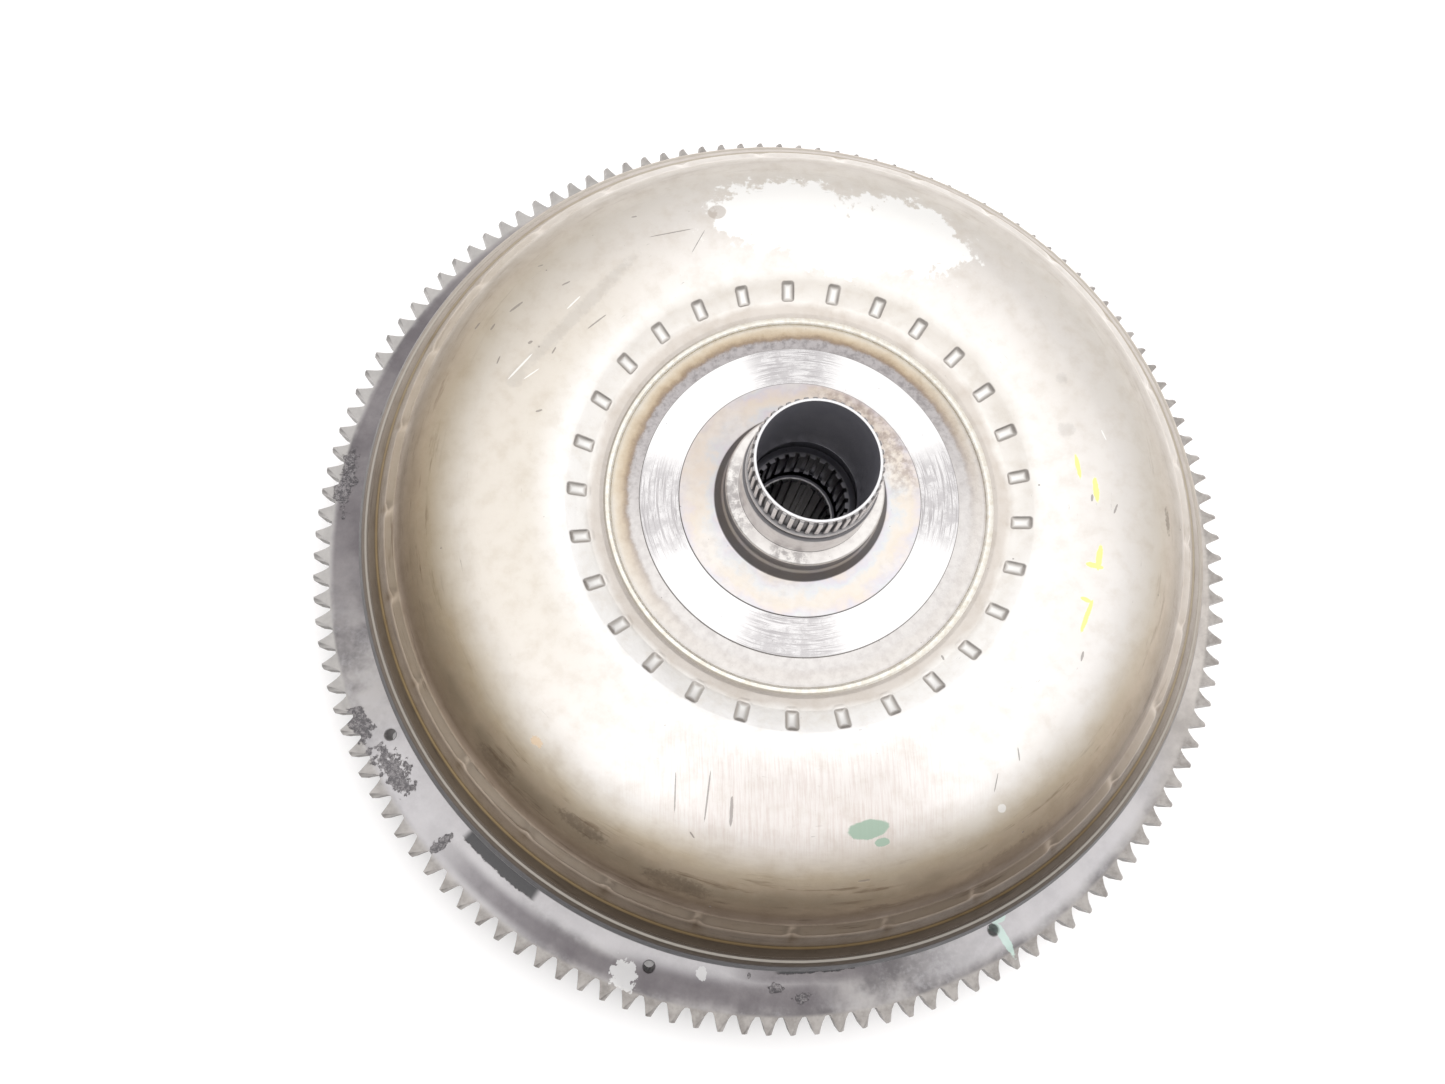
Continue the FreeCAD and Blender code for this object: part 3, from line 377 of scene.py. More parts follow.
    def strokes(self, marks, **shape):
        return self.most(*(self.stroke(*mark, **shape) for mark in marks))

    def mix(self, share, first, second):
        node = self.tree.nodes.new("ShaderNodeMix")
        node.data_type = "RGBA"
        self.put(share, node.inputs["Factor"])
        self.put(first, node.inputs[6])
        self.put(second, node.inputs[7])
        return node.outputs[2]

    def blend(self, share, first, second):
        """The same mix for plain numbers."""
        node = self.tree.nodes.new("ShaderNodeMix")
        self.put(share, node.inputs[0])
        self.put(first, node.inputs[2])
        self.put(second, node.inputs[3])
        return node.outputs[0]

    def bands(self, stops, value):
        """Colours that run smoothly between (value, colour) stops."""
        low, high = stops[0][0], stops[-1][0]
        node = self.tree.nodes.new("ShaderNodeValToRGB")
        self.put(self.math("DIVIDE", self.math("SUBTRACT", value, low), high - low), node.inputs[0])
        elements = node.color_ramp.elements
        elements[1].color = (*stops[-1][1], 1)
        elements[0].color = (*stops[0][1], 1)
        for at, colour in stops[1:-1]:
            elements.new((at - low) / (high - low)).color = (*colour, 1)
        return node.outputs[0]

    def bump(self, height, depth, normal=None):
        """Relief: height runs from 0 to 1, and 1 stands depth millimetres proud."""
        node = self.tree.nodes.new("ShaderNodeBump")
        node.inputs["Strength"].default_value = 1.0
        node.inputs["Distance"].default_value = depth * MM
        self.put(height, node.inputs["Height"])
        if normal is not None:
            self.put(normal, node.inputs["Normal"])
        return node.outputs[0]

    def finish(self, colour, roughness, metallic=1.0, normal=None):
        shader = self.tree.nodes.new("ShaderNodeBsdfPrincipled")
        self.put(colour, shader.inputs["Base Color"])
        self.put(roughness, shader.inputs["Roughness"])
        self.put(metallic, shader.inputs["Metallic"])
        if normal is not None:
            self.put(normal, shader.inputs["Normal"])
        output = self.tree.nodes.new("ShaderNodeOutputMaterial")
        self.tree.links.new(shader.outputs[0], output.inputs[0])
        return self.material


# Shell colour against radius, on the near and the far side. The steel and its oil film are much the same all
# round: most of the difference between the two is light and shade.
SHELL_NEAR = (
    (50.0, (0.70, 0.65, 0.60)), (54.5, (0.72, 0.67, 0.62)), (56.5, (0.93, 0.91, 0.88)),
    (62.0, (0.99, 0.98, 0.97)),
    (66.0, (0.92, 0.90, 0.88)), (84.0, (0.90, 0.875, 0.855)), (88.0, (0.82, 0.79, 0.76)),
    (92.0, (0.72, 0.665, 0.59)), (96.0, (0.60, 0.51, 0.39)), (99.0, (0.54, 0.44, 0.33)),
    (102.0, (0.33, 0.26, 0.185)), (105.0, (0.18, 0.132, 0.09)), (106.8, (0.26, 0.20, 0.15)),
    (107.5, (0.52, 0.44, 0.36)), (109.5, (0.56, 0.475, 0.39)), (110.6, (0.17, 0.125, 0.085)),
    (112.9, (0.20, 0.15, 0.10)), (113.2, (0.36, 0.27, 0.15)), (113.5, (0.30, 0.225, 0.125)),
    (113.8, (0.15, 0.115, 0.08)), (117.5, (0.155, 0.12, 0.09)),
)
SHELL_FAR = (
    (50.0, (0.66, 0.61, 0.56)), (54.3, (0.70, 0.65, 0.60)), (56.0, (0.86, 0.83, 0.79)),
    (60.5, (0.74, 0.70, 0.65)), (64.0, (0.86, 0.84, 0.81)), (70.0, (0.84, 0.81, 0.78)),
    (77.0, (0.75, 0.715, 0.68)), (84.0, (0.70, 0.665, 0.63)), (89.0, (0.72, 0.68, 0.635)),
    (96.0, (0.66, 0.62, 0.57)), (102.0, (0.51, 0.47, 0.425)), (105.0, (0.55, 0.51, 0.46)),
    (107.5, (0.78, 0.74, 0.70)), (109.5, (0.82, 0.78, 0.74)), (110.4, (0.58, 0.53, 0.48)),
    (113.0, (0.54, 0.49, 0.44)), (113.4, (0.62, 0.56, 0.46)), (114.0, (0.50, 0.45, 0.41)),
    (117.5, (0.56, 0.51, 0.46)),
)


def pocket_distance(p):
    """How far a place is outside the nearest pocket's outline, in millimetres, and 1 inside it."""
    turn = p.math("ARCTAN2", p.y, p.x)
    share = p.math("FRACT", p.add(p.mul(turn, BLADES / (2 * math.pi)), 0.5 - POCKET_PHASE * BLADES / 360.0))
    aside = p.mul(p.mul(p.math("SUBTRACT", share, 0.5), 2 * math.pi / BLADES), p.radius)
    out = p.mul(p.math("SUBTRACT", p.radius, POCKET_CENTRE), 1.08)
    corner = 0.75
    across = p.math("SUBTRACT", p.math("ABSOLUTE", aside), POCKET_HALF[1] - corner)
    along = p.math("SUBTRACT", p.math("ABSOLUTE", out), POCKET_HALF[0] - corner)
    past_side = p.math("POWER", p.math("MAXIMUM", across, 0.0), 2.0)
    past_end = p.math("POWER", p.math("MAXIMUM", along, 0.0), 2.0)
    outer = p.math("SQRT", p.add(past_side, past_end))
    inner = p.math("MINIMUM", p.math("MAXIMUM", across, along), 0.0)
    edge = p.math("SUBTRACT", p.add(outer, inner), corner)
    return edge, p.between(edge, 0.05, -0.2)


def shell_paint():
    """Pressed steel under a thin film of old oil: warm grey, browner towards the rim, with grain, fine
    drawing marks, dark specks, scratches and a few dabs of workshop paint. The near and far ramps and the
    dark band near the rim at 276 degrees are painted shade more than stain, the warm darkening at 174
    degrees is painted shade over random stain, the darker band at 270 degrees is a painted dark reflection,
    and the pocket floors are painted darker towards their edges as shade. The near and far ramps, deep, aged
    and dull are light and shade more than stain, and wiped may be glare rather than a cleaned patch. Pale
    patches sit near the crest."""
    p = Paint("shell_steel")
    cloud = p.noise(38.0, 5.0, 0.6)
    mottle = p.noise(5.0, 6.0, 0.65)
    grain = p.noise(0.55, 3.0, 0.6)
    drawn = p.noise(1.0, 3.0, 0.6, p.around(9.0, 1.6))
    # The near side takes the darker ramp, which is mostly painted shade.
    near = p.side(250, 100, 55)
    uneven = p.mul(p.math("SUBTRACT", p.noise(16.0, 4.0), 0.5), 6.0)
    ragged = p.add(p.radius, p.mul(uneven, p.between(p.radius, 105.0, 98.0)))
    steel = p.mix(near, p.bands(SHELL_FAR, ragged), p.bands(SHELL_NEAR, ragged))
    # Darker band near the rim around 276 degrees: painted shade.
    deep_shade = p.vector("MULTIPLY", steel, (0.50, 0.47, 0.44))
    steel = p.mix(p.mul(p.side(276, 34, 26), p.between(p.radius, 103.5, 107.0)), steel, deep_shade)
    warm = p.vector("MULTIPLY", steel, (0.80, 0.765, 0.70))
    # Warm darkening: random stain, and painted shade on the side at 174 degrees.
    stain_and_shade = p.most(p.mul(p.side(174, 38, 30), 0.9), p.mul(p.between(cloud, 0.45, 0.70), 0.18))
    stain_and_shade = p.mul(stain_and_shade, p.between(p.radius, 62.0, 72.0))
    steel = p.mix(stain_and_shade, steel, warm)
    # Darker band at 270 degrees between radii 70 and 95: a painted dark reflection.
    dark_reflection = p.vector("MULTIPLY", steel, (0.85, 0.83, 0.82))
    steel = p.mix(p.mul(p.side(270, 16, 11), p.ring(70.0, 95.0, 5.0)), steel, dark_reflection)
    brushed = p.noise(1.0, 4.0, 0.7, p.combine(p.mul(p.x, 1.9), p.mul(p.y, 0.09), 0.0))
    rosy = p.vector("MULTIPLY", steel, (0.92, 0.885, 0.875))
    brushed_zone = p.mul(p.side(268, 24, 14), p.ring(67.0, 90.0, 4.0))
    steel = p.mix(p.mul(p.between(brushed, 0.42, 0.62), brushed_zone), steel, rosy)
    stain = p.vector("MULTIPLY", steel, (0.88, 0.85, 0.81))
    steel = p.mix(p.mul(p.between(mottle, 0.42, 0.75), 0.6), steel, stain)
    streak = p.between(p.noise(1.0, 4.0, 0.7, p.around(5.0, 0.35)), 0.54, 0.70)
    dirt = p.vector("MULTIPLY", steel, (0.55, 0.50, 0.46))
    steel = p.mix(p.mul(p.mul(streak, p.ring(95.0, 118.0, 3.0)), p.blend(near, 0.25, 0.8)), steel, dirt)
    # Pale patches near the dome's crest, between 68 and 92 degrees.
    pale_patches = p.most(
        p.blot(80.0, 92.0, 21.0, 11.5, 0.42, 5.0), p.blot(80.0, 68.0, 19.0, 12.0, 0.42, 5.0),
        p.blot(70.0, 80.0, 15.0, 7.0, 0.42, 4.0),
    )
    steel = p.mix(pale_patches, steel, (0.93, 0.92, 0.90))
    # Pocket floors darker towards their edges, and a dark line round each: painted shade in the recess.
    edge, inside = pocket_distance(p)
    pocket_floor = p.mul(inside, p.between(p.radius, 61.9, 61.3))
    dish = p.between(edge, -0.35, -1.5)
    steel = p.mix(p.mul(pocket_floor, 0.9), steel, p.mix(dish, (0.46, 0.43, 0.40), (0.93, 0.92, 0.90)))
    outline = p.mul(p.between(p.math("ABSOLUTE", p.add(edge, 0.02)), 0.24, 0.08), p.ring(55.0, 61.9, 0.3))
    steel = p.mix(p.mul(outline, p.blend(p.noise(2.5, 3.0), 0.2, 0.9)), steel, (0.33, 0.30, 0.28))
    specks = p.mul(p.dots(7.0, 0.33), p.between(p.noise(11.0, 2.0), 0.50, 0.60))
    scuffs = p.mul(
        p.between(p.noise(1.0, 2.0, 0.5, p.around(14.0, 2.2), 1.5), 0.735, 0.765),
        p.between(p.noise(9.0, 2.0), 0.50, 0.62),
    )
    scores = p.strokes((
        (-75.4, 51.5, 38, 4.2, 0.75), (-62.2, 57.8, 28, 2.4, 0.45), (-53.8, 46.8, 41, 6.0, 0.35),
        (-34.0, 73.3, 13, 11.5, 0.30), (-26.5, 71.0, 62, 8.0, 0.22), (-44.1, 79.0, 8, 1.5, 0.5),
        (-81.5, 46.0, 60, 2.2, 0.6), (-86.0, 47.4, 55, 2.4, 0.6), (-71.1, 40.4, 30, 1.3, 0.7),
        (-69.5, 64.6, 10, 1.6, 0.4), (-64.9, 38.2, 62, 2.0, 0.4), (-79.3, 35.6, 72, 2.4, 0.4),
        (-68.4, 21.4, 20, 1.8, 0.5), (-20.3, -79.8, 86, 7.0, 0.75), (-25.9, -76.0, 82, 11.5, 0.38),
        (-33.6, -75.0, 88, 9.0, 0.30), (-29.6, -85.0, 125, 1.8, 0.4), (11.6, -96.4, 6, 3.0, 0.5),
        (50.5, -67.4, 95, 3.2, 0.35), (44.4, -74.2, 76, 4.6, 0.28), (34.8, -42.9, 110, 1.4, 0.5),
        (82.0, -5.0, 64, 2.8, 0.5), (76.0, -2.0, 78, 2.0, 0.6), (68.9, -43.6, 70, 2.6, 0.6),
    ))
    marks = p.most(specks, p.mul(scuffs, 0.6), p.mul(scores, 0.8))
    steel = p.mix(p.mul(marks, 0.8), steel, (0.13, 0.11, 0.10))
    grime = p.strokes((
        (-77.8, -67.1, -49, 12.0, 2.4), (-56.2, -82.6, -34, 13.0, 2.6), (-33.6, -96.2, -19, 16.0, 3.4),
        (50.4, -90.7, 29, 24.0, 3.0), (15.5, -103.1, 8, 6.0, 1.2), (26.0, -101.2, 14, 6.0, 1.3),
        (98.5, -6.8, 88, 7.0, 1.4),
    ), ragged=5.0, soft=1.0)
    steel = p.mix(p.mul(grime, 0.5), steel, (0.13, 0.092, 0.062))
    smears = p.strokes((
        (-59.0, 48.8, 49, 46.0, 3.4), (71.2, 17.0, 0, 4.2, 4.0), (71.2, 31.6, 0, 3.0, 2.8),
        (-74.4, 30.7, 60, 6.0, 4.0),
    ), ragged=3.5, soft=0.8)
    steel = p.mix(p.mul(smears, 0.22), steel, (0.36, 0.34, 0.32))
    flecks = p.strokes((
        (-73.5, 33.5, 50, 9.0, 0.5), (-70.5, 31.5, 38, 5.0, 0.35), (81.1, 15.4, 110, 3.0, 0.4),
        (45.9, -80.2, 0, 2.2, 2.0), (-60.0, 52.0, 48, 5.0, 0.4),
    ))
    steel = p.mix(p.mul(flecks, 0.7), steel, (0.97, 0.96, 0.94))
    spot = p.blot(82.8, 104.9, 2.6, 2.3, 0.05)
    steel = p.mix(p.mul(spot, 0.55), steel, (0.42, 0.36, 0.31))
    rust = p.blot(91.6, -136.8, 1.6, 1.2, 0.6, 1.5)
    steel = p.mix(p.mul(rust, 0.6), steel, (0.50, 0.33, 0.17))
    green = p.blot(85.4, -81.6, 5.2, 2.3, 0.12, 2.5)
    green_drip = p.blot(88.9, -79.8, 1.8, 1.0, 0.2, 2.0)
    yellow = p.most(
        p.blot(73.5, 5.2, 3.4, 0.6, 0.25, 2.0), p.blot(77.3, 0.2, 3.4, 0.75, 0.25, 2.0),
        p.blot(78.2, -13.3, 3.6, 0.8, 0.25, 2.0), p.blot(77.2, -15.2, 0.7, 2.3, 0.25, 2.0),
        p.blot(78.6, -25.0, 4.6, 0.6, 0.25, 2.0), p.blot(77.2, -22.2, 0.6, 1.4, 0.25, 2.0),
    )
    steel = p.mix(p.mul(yellow, 0.92), steel, (0.84, 0.72, 0.20))
    colour = p.mix(p.mul(p.most(green, green_drip), 0.9), steel, (0.235, 0.335, 0.26))
    paint = p.most(green, green_drip, yellow)
    roughness = p.add(p.blend(mottle, 0.27, 0.50), p.mul(p.math("SUBTRACT", grain, 0.5), 0.16))
    roughness = p.blend(paint, roughness, 0.45)
    metallic = p.blend(p.most(paint, p.mul(marks, 0.7), rust), 0.93, 0.05)
    relief = p.bump(grain, 0.010)
    relief = p.bump(drawn, 0.016, relief)
    relief = p.bump(cloud, 0.55, relief)
    relief = p.bump(p.inverse(marks), 0.05, relief)
    return p.finish(colour, roughness, metallic, relief)


def hub_paint():
    """Machined steel: heat tint and soot beside the weld, a bright turned ring, temper colours round the
    boss, and a dark oily bore. Far, shaded and glint are painted light and shade. The four grey streaky
    places on the bright ring are partly scratch wear and partly painted reflection of the turned steel."""
    p = Paint("hub_steel")
    mottle = p.noise(2.2, 5.0, 0.65)
    cloud = p.noise(11.0, 4.0, 0.6)
    turned = p.noise(1.0, 2.0, 0.6, p.around(2.2, 5.5))
    steel = p.mix(p.between(mottle, 0.4, 0.7), (0.84, 0.815, 0.79), (0.74, 0.71, 0.69))
    outer = p.ring(42.6, 51.5, 0.25)
    # The grey band beside the weld is much stronger on the far side: painted shade there.
    far = p.side(95, 80, 35)
    grey = p.mix(p.between(p.noise(1.7, 5.0, 0.7), 0.42, 0.68), (0.44, 0.415, 0.42), (0.26, 0.24, 0.245))
    steel = p.mix(p.mul(outer, p.blend(far, 0.24, 0.92)), steel, grey)
    ragged = p.add(p.radius, p.mul(p.math("SUBTRACT", p.noise(5.0, 6.0, 0.72), 0.5), 3.4))
    scorch = p.bands((
        (44.8, (0.42, 0.38, 0.36)), (45.7, (0.30, 0.22, 0.16)), (46.3, (0.36, 0.26, 0.16)),
        (47.3, (0.58, 0.46, 0.31)), (48.6, (0.72, 0.62, 0.47)), (50.2, (0.80, 0.76, 0.68)),
    ), ragged)
    tint = p.mul(p.ring(45.4, 51.0, 0.6, ragged), p.blend(p.side(112, 92, 42), 0.10, 0.95))
    steel = p.mix(p.mul(tint, p.blend(cloud, 0.7, 1.0)), steel, scorch)
    soot = p.mul(p.ring(44.9, 46.4, 0.8, ragged), p.side(112, 75, 40))
    soot = p.mul(soot, p.between(p.noise(1.6, 5.0, 0.75), 0.48, 0.66))
    steel = p.mix(p.mul(soot, 0.6), steel, (0.13, 0.10, 0.085))
    bright = p.ring(32.2, 42.4, 0.12)
    steel = p.mix(bright, steel, (0.90, 0.89, 0.89))
    inner = p.ring(20.5, 32.1, 0.2)
    hue = p.add(p.mul(p.radius, 0.11), p.mul(p.noise(9.0, 4.0, 0.6), 2.0))
    ramp = p.tree.nodes.new("ShaderNodeValToRGB")
    p.put(p.math("FRACT", hue), ramp.inputs[0])
    stops = ramp.color_ramp.elements
    stops[0].position, stops[0].color = 0.0, (0.83, 0.77, 0.70, 1)
    stops[1].position, stops[1].color = 1.0, (0.83, 0.77, 0.70, 1)
    for at, shade in ((0.22, (0.82, 0.745, 0.655, 1)), (0.42, (0.79, 0.725, 0.705, 1)),
                      (0.60, (0.725, 0.70, 0.755, 1)), (0.76, (0.735, 0.755, 0.775, 1))):
        stops.new(at).color = shade
    strength = p.mul(inner, p.blend(p.between(cloud, 0.35, 0.6), 0.35, 0.95))
    steel = p.mix(strength, steel, ramp.outputs[0])
    steps = p.most(p.ring(42.35, 42.62, 0.06), p.ring(32.0, 32.28, 0.06))
    steel = p.mix(p.mul(steps, 0.75), steel, (0.12, 0.11, 0.11))
    foot = p.mul(p.ring(20.3, 22.9, 0.2), p.between(p.z, 81.5, 80.9))
    steel = p.mix(p.mul(foot, p.blend(p.ring(75.6, 76.6, 0.3, p.z), 0.88, 0.45)), steel, (0.12, 0.11, 0.11))
    face = p.mul(p.ring(17.4, 20.4, 0.2), p.ring(81.6, 82.4, 0.1, p.z))
    grubby = p.most(p.side(188, 24, 14), p.side(254, 12, 8))
    grubby = p.mul(grubby, p.between(p.noise(2.2, 4.0, 0.7), 0.38, 0.60))
    steel = p.mix(p.mul(face, p.mul(grubby, 0.65)), steel, (0.30, 0.28, 0.28))
    tube = p.mul(p.ring(14.9, 19.0, 0.05), p.between(p.z, 82.0, 82.3))
    steel = p.mix(p.mul(tube, 0.35), steel, (0.62, 0.58, 0.60))
    grooves = p.mul(tube, p.most(p.ring(92.0, 93.4, 0.1, p.z), p.ring(94.3, 95.6, 0.1, p.z),
                                 p.ring(82.0, 82.5, 0.08, p.z)))
    steel = p.mix(p.mul(grooves, 0.85), steel, (0.07, 0.07, 0.08))
    valleys = p.mul(p.ring(95.3, 103.0, 0.1, p.z), p.ring(15.0, 15.85, 0.16))
    steel = p.mix(p.mul(valleys, 0.85), steel, (0.06, 0.06, 0.07))
    crest = p.mul(p.between(p.z, 103.2, 103.4), p.between(p.radius, 14.5, 14.75))
    steel = p.mix(crest, steel, (0.88, 0.88, 0.90))
    bore = p.mul(p.between(p.radius, 14.82, 14.68), p.between(p.z, 103.5, 103.2))
    relief_bore = p.mul(p.between(p.radius, 16.3, 16.1), p.between(p.z, 75.3, 75.1))
    dark = p.most(bore, relief_bore)
    oil = p.mix(p.noise(6.0, 5.0, 0.6), (0.24, 0.24, 0.285), (0.36, 0.355, 0.385))
    steel = p.mix(dark, steel, oil)
    glint = p.mul(p.mul(bore, p.ring(75.1, 75.6, 0.1, p.z)), p.side(48, 26, 12))
    steel = p.mix(glint, steel, (0.85, 0.85, 0.88))
    specks = p.mul(p.dots(2.4, 0.16), p.between(p.noise(7.0, 2.0), 0.48, 0.6))
    steel = p.mix(p.mul(p.mul(specks, p.inverse(dark)), 0.75), steel, (0.08, 0.07, 0.07))
    # Four grey streaky places on the bright ring: partly scratch wear, partly painted reflection.
    wear_and_painted_light = p.most(p.side(0, 16, 9), p.side(91, 14, 8), p.side(184, 17, 8), p.side(264, 15, 9))
    ring_streak_noise = p.noise(1.0, 4.0, 0.75, p.around(3.0, 2.2), 0.4)
    streaks = p.mul(p.mul(bright, wear_and_painted_light), p.between(ring_streak_noise, 0.44, 0.60))
    smudge_and_reflection = p.mul(p.mul(bright, wear_and_painted_light), p.between(p.noise(4.0, 4.0, 0.7), 0.40, 0.62))
    steel = p.mix(p.mul(p.most(streaks, p.mul(smudge_and_reflection, 0.7)), 0.8), steel, (0.38, 0.36, 0.37))
    steel = p.mix(p.mul(p.mul(bright, wear_and_painted_light), 0.22), steel, (0.40, 0.38, 0.39))
    tarnish = p.mul(p.side(42, 34, 16), p.ring(24.0, 32.0, 1.5))
    tarnish = p.mul(tarnish, p.between(p.noise(2.6, 5.0, 0.7), 0.38, 0.62))
    steel = p.mix(p.mul(tarnish, 0.7), steel, (0.36, 0.29, 0.26))
    shaded = p.vector("MULTIPLY", steel, (0.80, 0.77, 0.76))
    steel = p.mix(p.mul(p.side(110, 75, 30), p.ring(20.0, 32.1, 0.3)), steel, shaded)
    roughness = p.blend(bright, p.blend(mottle, 0.24, 0.42), 0.22)
    roughness = p.blend(dark, roughness, 0.34)
    metallic = p.blend(p.most(p.mul(soot, 0.8), p.mul(specks, 0.7), p.mul(dark, 0.55)), 1.0, 0.0)
    relief = p.bump(turned, 0.030)
    relief = p.bump(mottle, 0.010, relief)
    relief = p.bump(p.mul(p.noise(0.6, 3.0, 0.7), p.mul(outer, 1.0)), 0.05, relief)
    return p.finish(steel, roughness, metallic, relief)


def gear_paint():
    """Dark phosphate with pale wipe marks, black bare patches beside the skirt, and teeth that wear has taken
    down to steel. Sunny, gleam, the darker near flanks of the teeth and the near side of the dark line at
    the inner edge are painted light and shade."""
    p = Paint("gear_phosphate")
    cloud = p.noise(26.0, 5.0, 0.62)
    mottle = p.noise(4.0, 6.0, 0.7)
    grit = p.noise(0.7, 3.0, 0.65)
    coat = p.mix(p.between(cloud, 0.38, 0.62), (0.16, 0.15, 0.155), (0.44, 0.42, 0.415))
    coat = p.mix(p.mul(p.between(mottle, 0.45, 0.72), 0.5), coat, (0.46, 0.45, 0.46))
    sunny = p.mix(p.between(mottle, 0.35, 0.7), (0.62, 0.58, 0.54), (0.48, 0.44, 0.41))
    coat = p.mix(p.mul(p.side(46, 74, 24), 0.88), coat, sunny)
    # The teeth: steel showing through wear, with painted shade on their near flanks below.
    wear_and_painted_light = p.between(p.radius, 135.2, 136.4)
    teeth = p.mix(p.between(mottle, 0.35, 0.7), (0.43, 0.405, 0.385), (0.27, 0.25, 0.235))
    teeth = p.mix(p.mul(p.side(160, 45, 20), 0.6), teeth, (0.52, 0.51, 0.50))
    # Near flanks of the teeth darker: painted shade.
    flank = p.between(p.z, GEAR_TOP - 1.0, GEAR_TOP - 2.2)
    teeth = p.mix(p.mul(flank, p.side(250, 90, 30)), teeth, (0.11, 0.095, 0.08))
    coat = p.mix(p.mul(wear_and_painted_light, 0.92), coat, teeth)
    pale_patches = p.most(
        p.mul(p.side(221, 14, 8), p.ring(121.0, 136.0, 1.5)),
        p.mul(p.side(247, 22, 9), p.ring(122.0, 128.5, 2.0)),
        p.mul(p.side(308, 16, 10), p.ring(124.0, 134.0, 2.0)),
    )
    coat = p.mix(p.mul(pale_patches, p.blend(mottle, 0.6, 0.95)), coat, (0.60, 0.585, 0.60))
    grimy = p.most(
        p.mul(p.side(242, 17, 7), p.ring(129.5, 134.8, 1.6)),
        p.mul(p.side(160, 28, 10), p.ring(121.0, 135.2, 1.0)),
        p.mul(p.side(262, 12, 5), p.ring(127.0, 134.5, 2.5)),
        p.mul(p.side(272, 8, 4), p.ring(120.0, 128.0, 2.0)),
    )
    coat = p.mix(p.mul(grimy, p.blend(mottle, 0.55, 0.95)), coat, (0.15, 0.135, 0.145))
    black = p.most(
        p.blot(131.6, -149.0, 6.5, 4.0, 0.9, 3.0), p.blot(135.0, -155.8, 6.5, 2.6, 0.9, 3.0),
        p.blot(132.2, -138.3, 1.3, 3.6, 0.8, 2.0), p.blot(128.7, -92.3, 1.6, 1.3, 0.9, 1.5),
        p.blot(131.2, -89.1, 1.8, 1.4, 0.9, 1.5), p.blot(125.6, -95.7, 0.5, 0.8, 0.3, 1.5),
        p.blot(134.0, 172.0, 9.0, 2.6, 0.9, 3.0),
    )
    crust = p.mix(p.between(p.noise(0.8, 4.0, 0.75), 0.42, 0.62), (0.06, 0.055, 0.06), (0.24, 0.225, 0.23))
    coat = p.mix(p.mul(black, 0.9), coat, crust)
    ragged = p.add(p.radius, p.mul(p.math("SUBTRACT", p.noise(2.0, 5.0, 0.7), 0.5), 2.6))
    bare = p.most(
        p.mul(p.side(-131.0, 5.9, 0.5), p.between(ragged, 127.0, 126.6)),
        p.mul(p.side(-86.5, 5.6, 0.6), p.between(ragged, 125.0, 124.6)),
        p.mul(p.side(-100.0, 9.0, 1.0), p.between(ragged, 122.4, 122.0)),
    )
    coat = p.mix(p.mul(bare, 0.92), coat, (0.035, 0.035, 0.038))
    # Dark joint line at the inner edge, much darker on the near side: painted shade there.
    line = p.mul(p.between(ragged, 122.6, 122.2), p.blend(p.side(240, 100, 40), 0.25, 0.95))
    coat = p.mix(line, coat, (0.05, 0.052, 0.06))
    gleam = p.mul(bare, p.ring(121.3, 121.9, 0.12))
    coat = p.mix(p.mul(gleam, 0.7), coat, (0.55, 0.53, 0.48))
    smear = p.mul(p.side(-85.5, 4.4, 1.0), p.ring(122.0, 123.6, 0.3, ragged))
    coat = p.mix(p.mul(smear, 0.85), coat, (0.66, 0.63, 0.57))
    white = p.most(p.blot(132.8, -110.8, 3.6, 3.8, 0.9, 2.5), p.blot(126.7, -101.7, 1.4, 1.8, 0.6, 2.0))
    mint = p.most(p.blot(131.0, -62.6, 1.2, 6.0, 0.3, 3.0), p.blot(126.5, -62.0, 2.5, 1.5, 0.3, 3.0))
    coat = p.mix(p.mul(white, 0.55), coat, (0.80, 0.80, 0.80))
    coat = p.mix(p.mul(mint, 0.55), coat, (0.52, 0.74, 0.66))
    tallow = p.mul(p.side(163.0, 24.0, 5.0), p.ring(121.9, 123.1, 0.3, ragged))
    coat = p.mix(p.mul(tallow, 0.7), coat, (0.72, 0.68, 0.58))
    metallic = p.blend(p.most(white, mint, bare, smear, tallow, p.mul(black, 0.6)), 0.82, 0.05)
    roughness = p.add(p.blend(mottle, 0.30, 0.52), p.mul(p.math("SUBTRACT", grit, 0.5), 0.25))
    relief = p.bump(grit, 0.03)
    relief = p.bump(mottle, 0.08, relief)
    relief = p.bump(p.inverse(p.most(bare, black)), 0.10, relief)
    return p.finish(coat, roughness, metallic, relief)


def rim_paint():
    """The closing weld between shell and cover: smooth, brown from the heat, dark at its outer foot. Its
    near side is darker for shade, as the shell's is."""
    p = Paint("rim_weld_bead")
    near = p.side(245, 100, 50)
    ripple = p.noise(1.0, 3.0, 0.6, p.around(60.0, 0.5))
    mottle = p.noise(3.0, 5.0, 0.65)
    steel = p.mix(mottle, (0.60, 0.54, 0.47), (0.44, 0.38, 0.32))
    steel = p.mix(p.mul(near, 0.93), steel, (0.155, 0.125, 0.10))
    # Darker band around 276 degrees: painted shade, as on the shell.
    deep_shade = p.vector("MULTIPLY", steel, (0.50, 0.48, 0.46))
    steel = p.mix(p.side(276, 34, 26), steel, deep_shade)
    foot = p.between(p.radius, 118.0, 119.0)
    steel = p.mix(p.mul(foot, p.blend(near, 0.15, 0.9)), steel, (0.045, 0.045, 0.052))
    # Lighter line along the bead's crest: a painted highlight.
    crest = p.ring(116.75, 117.4, 0.15)
    steel = p.mix(p.mul(crest, 0.6), steel, (0.66, 0.62, 0.56))
    relief = p.bump(mottle, 0.05)
    relief = p.bump(ripple, 0.10, relief)
    return p.finish(steel, p.blend(mottle, 0.32, 0.5), 0.95, relief)


